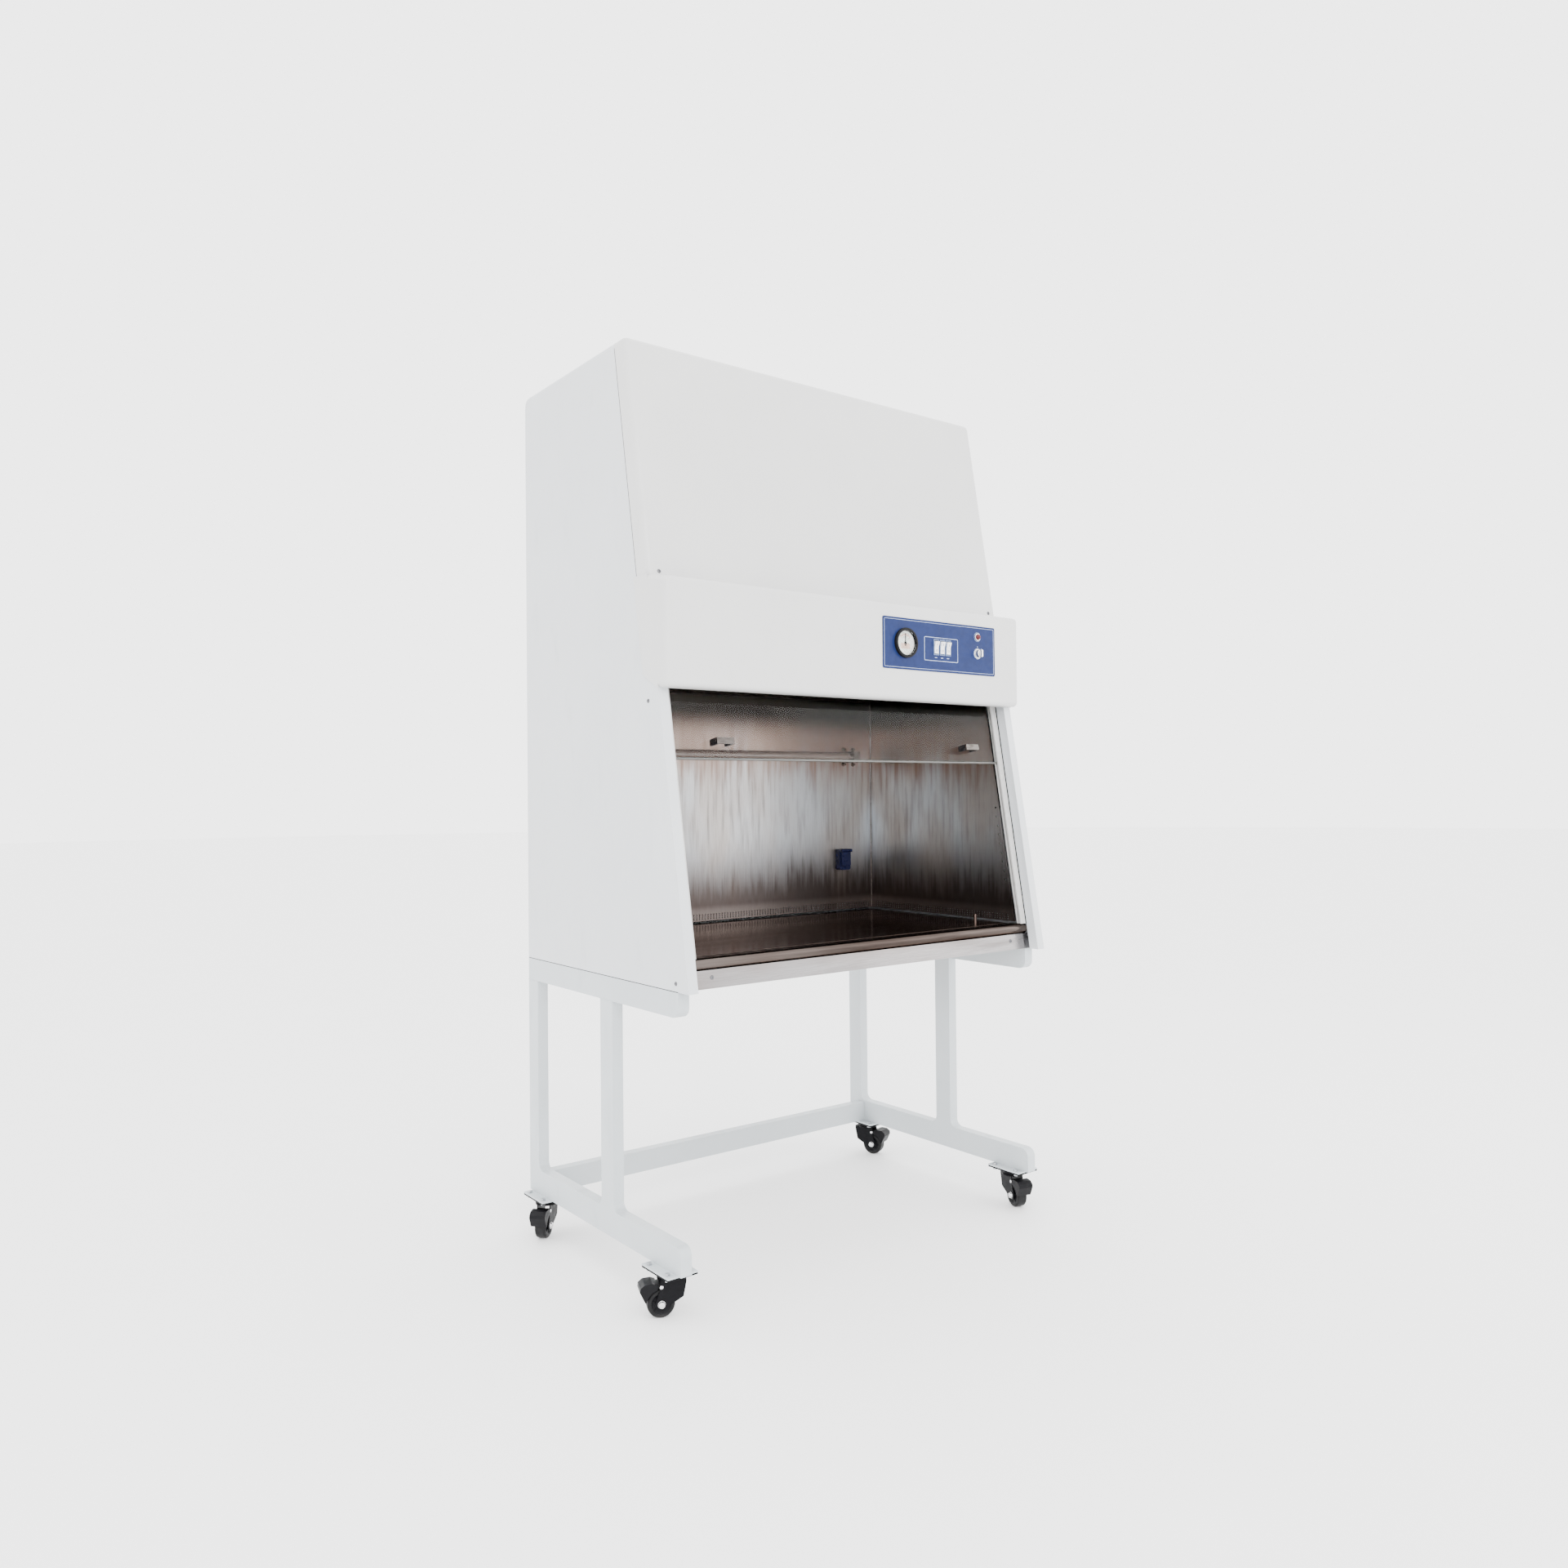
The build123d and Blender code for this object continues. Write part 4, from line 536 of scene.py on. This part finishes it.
shape = bmesh.new()
for sign in (-1, 1):
    for z in (1.417, 0.769):
        screw(shape, (sign * HALF, face_y(z, 0.050), z), (sign, 0, 0), turn=z)
    screw(shape, (sign * 0.566, face_y(1.726), 1.726), OFF_SLOPE, turn=0.2)
    screw(shape, (sign * 0.508, face_y(0.775, 0.040), 0.775), OFF_SLOPE, turn=1.1)
heads = finish_mesh("screw_heads", shape, "screw_metal", "cabinet")
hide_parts("body_screws")

shape = bmesh.new()
for n in range(6):
    for sign in (-1, 1):
        screw(shape, (sign * 0.585, BACK_Y, 0.780 + n * 0.288), (0, 1, 0), 4 * MM, 0.8 * MM, n)
for n in range(5):
    for z in (0.765, 2.237):
        screw(shape, (-0.4 + n * 0.2, BACK_Y, z), (0, 1, 0), 4 * MM, 0.8 * MM, n * 1.3)
for sx in (-1, 1):
    for sy in (-1, 1):
        for dx, dy in ((0.270, 0.170), (0.0, 0.170), (0.270, 0.0)):
            if dx or sx > 0:
                if dy or sy > 0:
                    screw(shape, (sx * dx, 0.150 + sy * dy, 2.314), (0, 0, 1), 4 * MM, 0.8 * MM, dx * 9)
finish_mesh("panel_screws", shape, "zinc", "cabinet")


# ---- Controls ------------------------------------------------------------------------------
PLATE_Y = -0.328
GAUGE = Vector((0.1485, -0.336, 1.5985))
DIAL_Y = GAUGE.y + 9 * MM


def on_plate(x, z, y=PLATE_Y):
    """Matrix on the control plate: X to the right, Y up, Z towards the operator."""
    return frame_of((x, y, z), (0, -1, 0), (1, 0, 0))


shape = bmesh.new()
lathe(shape, [(33.1 * MM, -1.5 * MM), (33.4 * MM, 0.3 * MM), (35.0 * MM, 1.0 * MM), (37.8 * MM, 0.9 * MM),
              (39.6 * MM, 0.2 * MM), (40.3 * MM, -1.2 * MM), (40.3 * MM, -7.0 * MM)],
      frame_of(GAUGE, (0, -1, 0)), 64)
finish_mesh("gauge_bezel", shape, "black_plastic", "cabinet")

shape = bmesh.new()
lathe(shape, [(0, 0.35 * MM), (27 * MM, 0.35 * MM), (32.4 * MM, 0.9 * MM), (32.8 * MM, 0)], on_plate(GAUGE.x, GAUGE.z, DIAL_Y), 64)
finish_mesh("gauge_dial", shape, "dial_white", "cabinet")

shape = bmesh.new()
slab(shape, rounded(34 * MM, 15 * MM, 4 * MM, centre=(0, -8 * MM)), on_plate(GAUGE.x, GAUGE.z, DIAL_Y), 0.3 * MM, 0.5 * MM)
arc = [(25.2 * MM * math.sin(math.radians(a)), 25.2 * MM * math.cos(math.radians(a))) for a in range(-50, 51, 5)]
arc += [(20.5 * MM * math.sin(math.radians(a)), 20.5 * MM * math.cos(math.radians(a))) for a in range(50, -51, -5)]
place = on_plate(GAUGE.x, GAUGE.z, DIAL_Y)
outer = [shape.verts.new(place @ Vector((x, y, 0.5 * MM))) for x, y in arc]
for i in range(20):
    shape.faces.new((outer[i], outer[i + 1], outer[40 - i], outer[41 - i]))
finish_mesh("gauge_band", shape, "dial_pink", "cabinet")

shape = bmesh.new()
for n in range(21):
    a = math.radians(-45 + 4.5 * n)
    length = (4.2 if n % 5 == 0 else 2.4) * MM
    middle = 28.6 * MM - length / 2
    tick = on_plate(GAUGE.x, GAUGE.z, DIAL_Y) @ Matrix.Rotation(-a, 4, "Z") @ Matrix.Translation((0, middle, 0))
    slab(shape, rounded(0.5 * MM, length, 0.2 * MM, 2), tick, 0.3 * MM, 0.62 * MM)
finish_mesh("gauge_scale", shape, "ink", "cabinet")

for n, number in enumerate(("0", "25", "50", "75", "100")):
    a = math.radians(-45 + 22.5 * n)
    words = bpy.data.curves.new(f"number_{number}", "FONT")
    words.body = number
    words.size = 5.2 * MM
    words.align_x, words.align_y = "CENTER", "CENTER"
    words.extrude = 0.05 * MM
    spot = on_plate(GAUGE.x + 17.0 * MM * math.sin(a), GAUGE.z + 17.0 * MM * math.cos(a), DIAL_Y - 0.6 * MM)
    typed = bpy.data.objects.new(f"typed_{number}", words)
    bpy.context.scene.collection.objects.link(typed)
    bpy.context.view_layer.update()
    mesh = bpy.data.meshes.new_from_object(typed)
    mesh.transform(spot)
    bpy.data.objects.remove(typed)
    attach(link(f"gauge_number_{number}", mesh, "ink"), "cabinet")


def outline_frame(shape, width, height, line, matrix, thick):
    """A printed rectangle: a thin closed band."""
    outer = rounded(width, height, 3 * MM)
    inner_line = rounded(width - 2 * line, height - 2 * line, 3 * MM - line)
    a = [shape.verts.new(matrix @ Vector((x, y, thick))) for x, y in outer]
    b = [shape.verts.new(matrix @ Vector((x, y, thick))) for x, y in inner_line]
    c = [shape.verts.new(matrix @ Vector((x, y, 0))) for x, y in outer]
    d = [shape.verts.new(matrix @ Vector((x, y, 0))) for x, y in inner_line]
    count = len(a)
    for i in range(count):
        j = (i + 1) % count
        shape.faces.new((a[i], a[j], b[j], b[i]))
        shape.faces.new((c[i], c[j], a[j], a[i]))
        shape.faces.new((b[i], b[j], d[j], d[i]))


shape = bmesh.new()
outline_frame(shape, 129 * MM, 65 * MM, 1.3 * MM, on_plate(0.2835, 1.5895), 0.12 * MM)
outline_frame(shape, 420 * MM, 128 * MM, 0.8 * MM, on_plate(0.2825, 1.5965), 0.10 * MM)
for x in (0.263, 0.286, 0.309):
    slab(shape, rounded(9 * MM, 1.6 * MM, 0.7 * MM, 3), on_plate(x, 1.5665), 0, 0.12 * MM)
for z, r in ((1.635, 12.5 * MM), (1.588, 15.0 * MM)):
    ring = [Vector((0.427 + r * math.cos(a * math.pi / 24), PLATE_Y, z + r * math.sin(a * math.pi / 24))) for a in range(48)]
    tube(shape, ring, 0.35 * MM, 6, True)
for a in (0, 45, 90):
    spot = Vector((0.427 + 19 * MM * math.sin(math.radians(a)), 0, 1.588 + 19 * MM * math.cos(math.radians(a))))
    slab(shape, rounded(1.4 * MM, 4 * MM, 0.6 * MM, 2), on_plate(spot.x, spot.z) @ Matrix.Rotation(-math.radians(a), 4, "Z"), 0, 0.12 * MM)
finish_mesh("plate_print", shape, "print_white", "cabinet")

shape = bmesh.new()
lathe(shape, [(8.6 * MM, 0), (10.4 * MM, 0), (10.4 * MM, 1.6 * MM), (9.6 * MM, 2.6 * MM), (8.4 * MM, 2.6 * MM), (8.1 * MM, 1.8 * MM)],
      on_plate(0.427, 1.635), 40)
lathe(shape, [(11.4 * MM, 0), (14.0 * MM, 0), (13.8 * MM, 0.9 * MM), (12.8 * MM, 1.5 * MM), (11.5 * MM, 1.5 * MM), (11.3 * MM, 0.4 * MM)],
      on_plate(0.427, 1.588), 40)
finish_mesh("control_rings", shape, "chrome", "cabinet")

# The key switch's grip bar, and the marks on the rockers, move with them.
shape = bmesh.new()
grip = on_plate(0.427, 1.588, -0.3403)
slab(shape, rounded(6.4 * MM, 21 * MM, 2.2 * MM, 5), grip, 0, 6.5 * MM, 1.2 * MM)
finish_mesh("key_grip", shape, "chrome", "key")

TILT = math.radians(9)
for n, x in enumerate((0.263, 0.286, 0.309), start=1):
    shape = bmesh.new()
    for way in (-1, 1):
        # A rocker's half face leans from its waist, 3.5 out, to its end, 6 out and 16.5 along.
        dent = math.atan2(6 - 3.5, 16.5)
        along = Matrix.Rotation(TILT, 3, "X") @ Vector((0, -math.sin(dent), way * math.cos(dent)))
        out = Matrix.Rotation(TILT, 3, "X") @ Vector((0, -math.cos(dent), -way * math.sin(dent)))
        middle = Vector((x, PLATE_Y, 1.595)) + out * 3.5 * MM * math.cos(dent) + along * 9 * MM
        face = frame_of(middle, out, (1, 0, 0))
        if way > 0:
            slab(shape, rounded(1.3 * MM, 6 * MM, 0.5 * MM, 3), face, -0.1 * MM, 0.15 * MM)
        else:
            ring = [face @ Vector((2.6 * MM * math.cos(a * math.pi / 12), 2.6 * MM * math.sin(a * math.pi / 12), 0)) for a in range(24)]
            tube(shape, ring, 0.45 * MM, 6, True)
    finish_mesh(f"rocker_marks_{n}", shape, "ink", f"rocker_{n}")


# ---- Chamber trim --------------------------------------------------------------------------
for sign, side in ((-1, "left"), (1, "right")):
    shape = bmesh.new()
    corner = [Vector((sign * 0.5486, 0.2676, 0.826 + 0.669 * n / 40)) for n in range(41)]
    tube(shape, corner, 1.7 * MM, 8, False, 0.06)
    finish_mesh(f"corner_seam_{side}", shape, "front_steel", "cabinet")

shape = bmesh.new()
for y, z in ((0.239, 1.316), (face_y(1.495, 0.075), 1.475)):
    for sign in (-1, 1):
        matrix = frame_of((sign * 0.4275, y, z), (sign, 0, 0))
        lathe(shape, [(12.9 * MM, -0.4 * MM), (13.1 * MM, 0), (13.25 * MM, 0.6 * MM), (13.25 * MM, 5 * MM), (12.95 * MM, 5.4 * MM),
                      (12.95 * MM, 6.2 * MM), (13.25 * MM, 6.6 * MM), (13.25 * MM, 19 * MM), (11 * MM, 19.8 * MM), (0, 19.9 * MM)], matrix, 40)
finish_mesh("lamp_caps", shape, "lamp_metal", "cabinet")

shape = bmesh.new()
for sign in (-1, 1):
    for dx in (-0.020, 0.020):
        for dz in (-0.024, 0.024):
            matrix = frame_of((sign * 0.4525 + dx, 0.269, 1.316 + dz), (0, -1, 0))
            lathe(shape, [(7.5 * MM, 0), (7.5 * MM, 1.0 * MM), (5.6 * MM, 1.2 * MM), (5.5 * MM, 5.0 * MM), (4.9 * MM, 5.8 * MM), (3.1 * MM, 5.9 * MM)], matrix, 6)
            lathe(shape, [(3.15 * MM, 5.8 * MM), (3.15 * MM, 11.8 * MM), (2.4 * MM, 12.6 * MM), (0, 12.7 * MM)], matrix, 16)
finish_mesh("stud_nuts", shape, "lamp_metal", "cabinet")

# Painted shadow: a dark bead filling the gap between each guide and the flange in front of it.
shape = bmesh.new()
for sign in (-1, 1):
    line = [Vector((sign * 0.5725, face_y(z, 0.0297), z)) for z in (0.8215 + 0.030 * n for n in range(41))]
    tube(shape, line, 1.5 * MM, 8, False, 0.03)
finish_mesh("guide_gap_shadows", shape, "seam_and_gap_shadow", "cabinet")

# Dark seam where the hood's side return meets the side panel.
shape = bmesh.new()
for sign in (-1, 1):
    line = [Vector((sign * (HALF - 0.3 * MM), face_y(z, 0.048), z)) for z in (1.664 + 0.0157 * n for n in range(41))]
    tube(shape, line, 0.9 * MM, 8, False, 0.02)
finish_mesh("hood_seams", shape, "seam_and_gap_shadow", "cabinet")

# Rolled lower edge of the sash pane.
shape = bmesh.new()
edge = [Vector((x * 0.566 / 20, face_y(1.2822, 0.0385), 1.2822)) for x in range(-20, 21)]
tube(shape, edge, 3.2 * MM, 12)
finish_mesh("sash_edge", shape, "glass_edge", "sash")

# ---- Stand and casters ---------------------------------------------------------------------
def loop(x_low, x_high, y_low, y_high, z, step=0.004):
    """Points round a rectangle at height z, for a weld bead."""
    corners = [(x_low, y_low), (x_high, y_low), (x_high, y_high), (x_low, y_high)]
    points = []
    for (xa, ya), (xb, yb) in zip(corners, corners[1:] + corners[:1]):
        count = max(2, int(math.hypot(xb - xa, yb - ya) / step))
        points += [Vector((xa + (xb - xa) * i / count, ya + (yb - ya) * i / count, z)) for i in range(count)]
    return points


for sign, side in ((-1, "left"), (1, "right")):
    shape = bmesh.new()
    x_low, x_high = sorted((sign * 0.570, sign * 0.600))
    for y_low, y_high in ((-0.060, 0.0), (0.355, 0.410)):
        tube(shape, loop(x_low, x_high, y_low, y_high, 0.690), 1.3 * MM, 8, True, 0.25)
    finish_mesh(f"weld_beads_{side}", shape, "grey_paint", "cabinet")

    # Painted shadow: a thin dark strip along the gap where the cabinet sits on the stand.
    shape = bmesh.new()
    x_in, x_out = sign * 0.598, sign * 0.6003
    strip_x = sorted((x_in, x_out))
    matrix = frame_of((sum(strip_x) / 2, 0.0215, SEAT_Z), (0, 0, 1), (1, 0, 0))
    slab(shape, [(-0.00115, -0.3865), (0.00115, -0.3865), (0.00115, 0.3865), (-0.00115, 0.3865)], matrix, -0.8 * MM, 0.8 * MM)
    finish_mesh(f"seat_gap_shadow_{side}", shape, "seam_and_gap_shadow", "cabinet")

CASTERS = {"front_left": (-1, -0.295, 158), "front_right": (1, -0.295, -107),
           "rear_left": (-1, 0.340, -137), "rear_right": (1, 0.340, -67)}
for corner, (sign, y, heading) in CASTERS.items():
    a = math.radians(heading)
    along = Vector((math.cos(a), math.sin(a), 0))
    axle = Vector((along.y, -along.x, 0))
    hub = Vector((sign * 0.585, y, 0.0325)) + along * 0.022
    shape = bmesh.new()
    for way in (-1, 1):
        matrix = frame_of(hub + axle * way * 0.019, axle * way)
        lathe(shape, [(8.9 * MM, 0), (8.9 * MM, 1.2 * MM), (8.3 * MM, 1.6 * MM), (8.2 * MM, 3.6 * MM), (7.0 * MM, 5.4 * MM),
                      (4.4 * MM, 6.4 * MM), (0, 6.7 * MM)], matrix, 24)
        pin = Vector((sign * 0.585, y, 0.072)) + along * 0.022 + axle * way * 0.019
        lathe(shape, [(4.2 * MM, 0), (4.2 * MM, 0.9 * MM), (3.0 * MM, 1.9 * MM), (0, 2.2 * MM)], frame_of(pin, axle * way), 20)
    finish_mesh(f"axle_nuts_{corner}", shape, "chrome", f"fork_{corner}")

    shape = bmesh.new()
    for way in (-1, 1):
        matrix = frame_of(hub + axle * way * 0.012, axle * way)
        lathe(shape, [(9.2 * MM, 0), (9.8 * MM, 2.2 * MM), (12 * MM, 1.2 * MM), (17 * MM, 0.8 * MM), (21.5 * MM, 1.4 * MM), (23.4 * MM, 2.9 * MM), (23.4 * MM, 0)],
              matrix, 48)
        for k in range(6):
            b = math.radians(60 * k)
            spoke = matrix @ Matrix.Rotation(b, 4, "Z") @ Matrix.Translation((15.5 * MM, 0, 0))
            slab(shape, rounded(13 * MM, 2.4 * MM, 0.9 * MM, 2), spoke, 0, 2.4 * MM, 0.5 * MM)
    finish_mesh(f"wheel_discs_{corner}", shape, "black_plastic", f"wheel_{corner}")
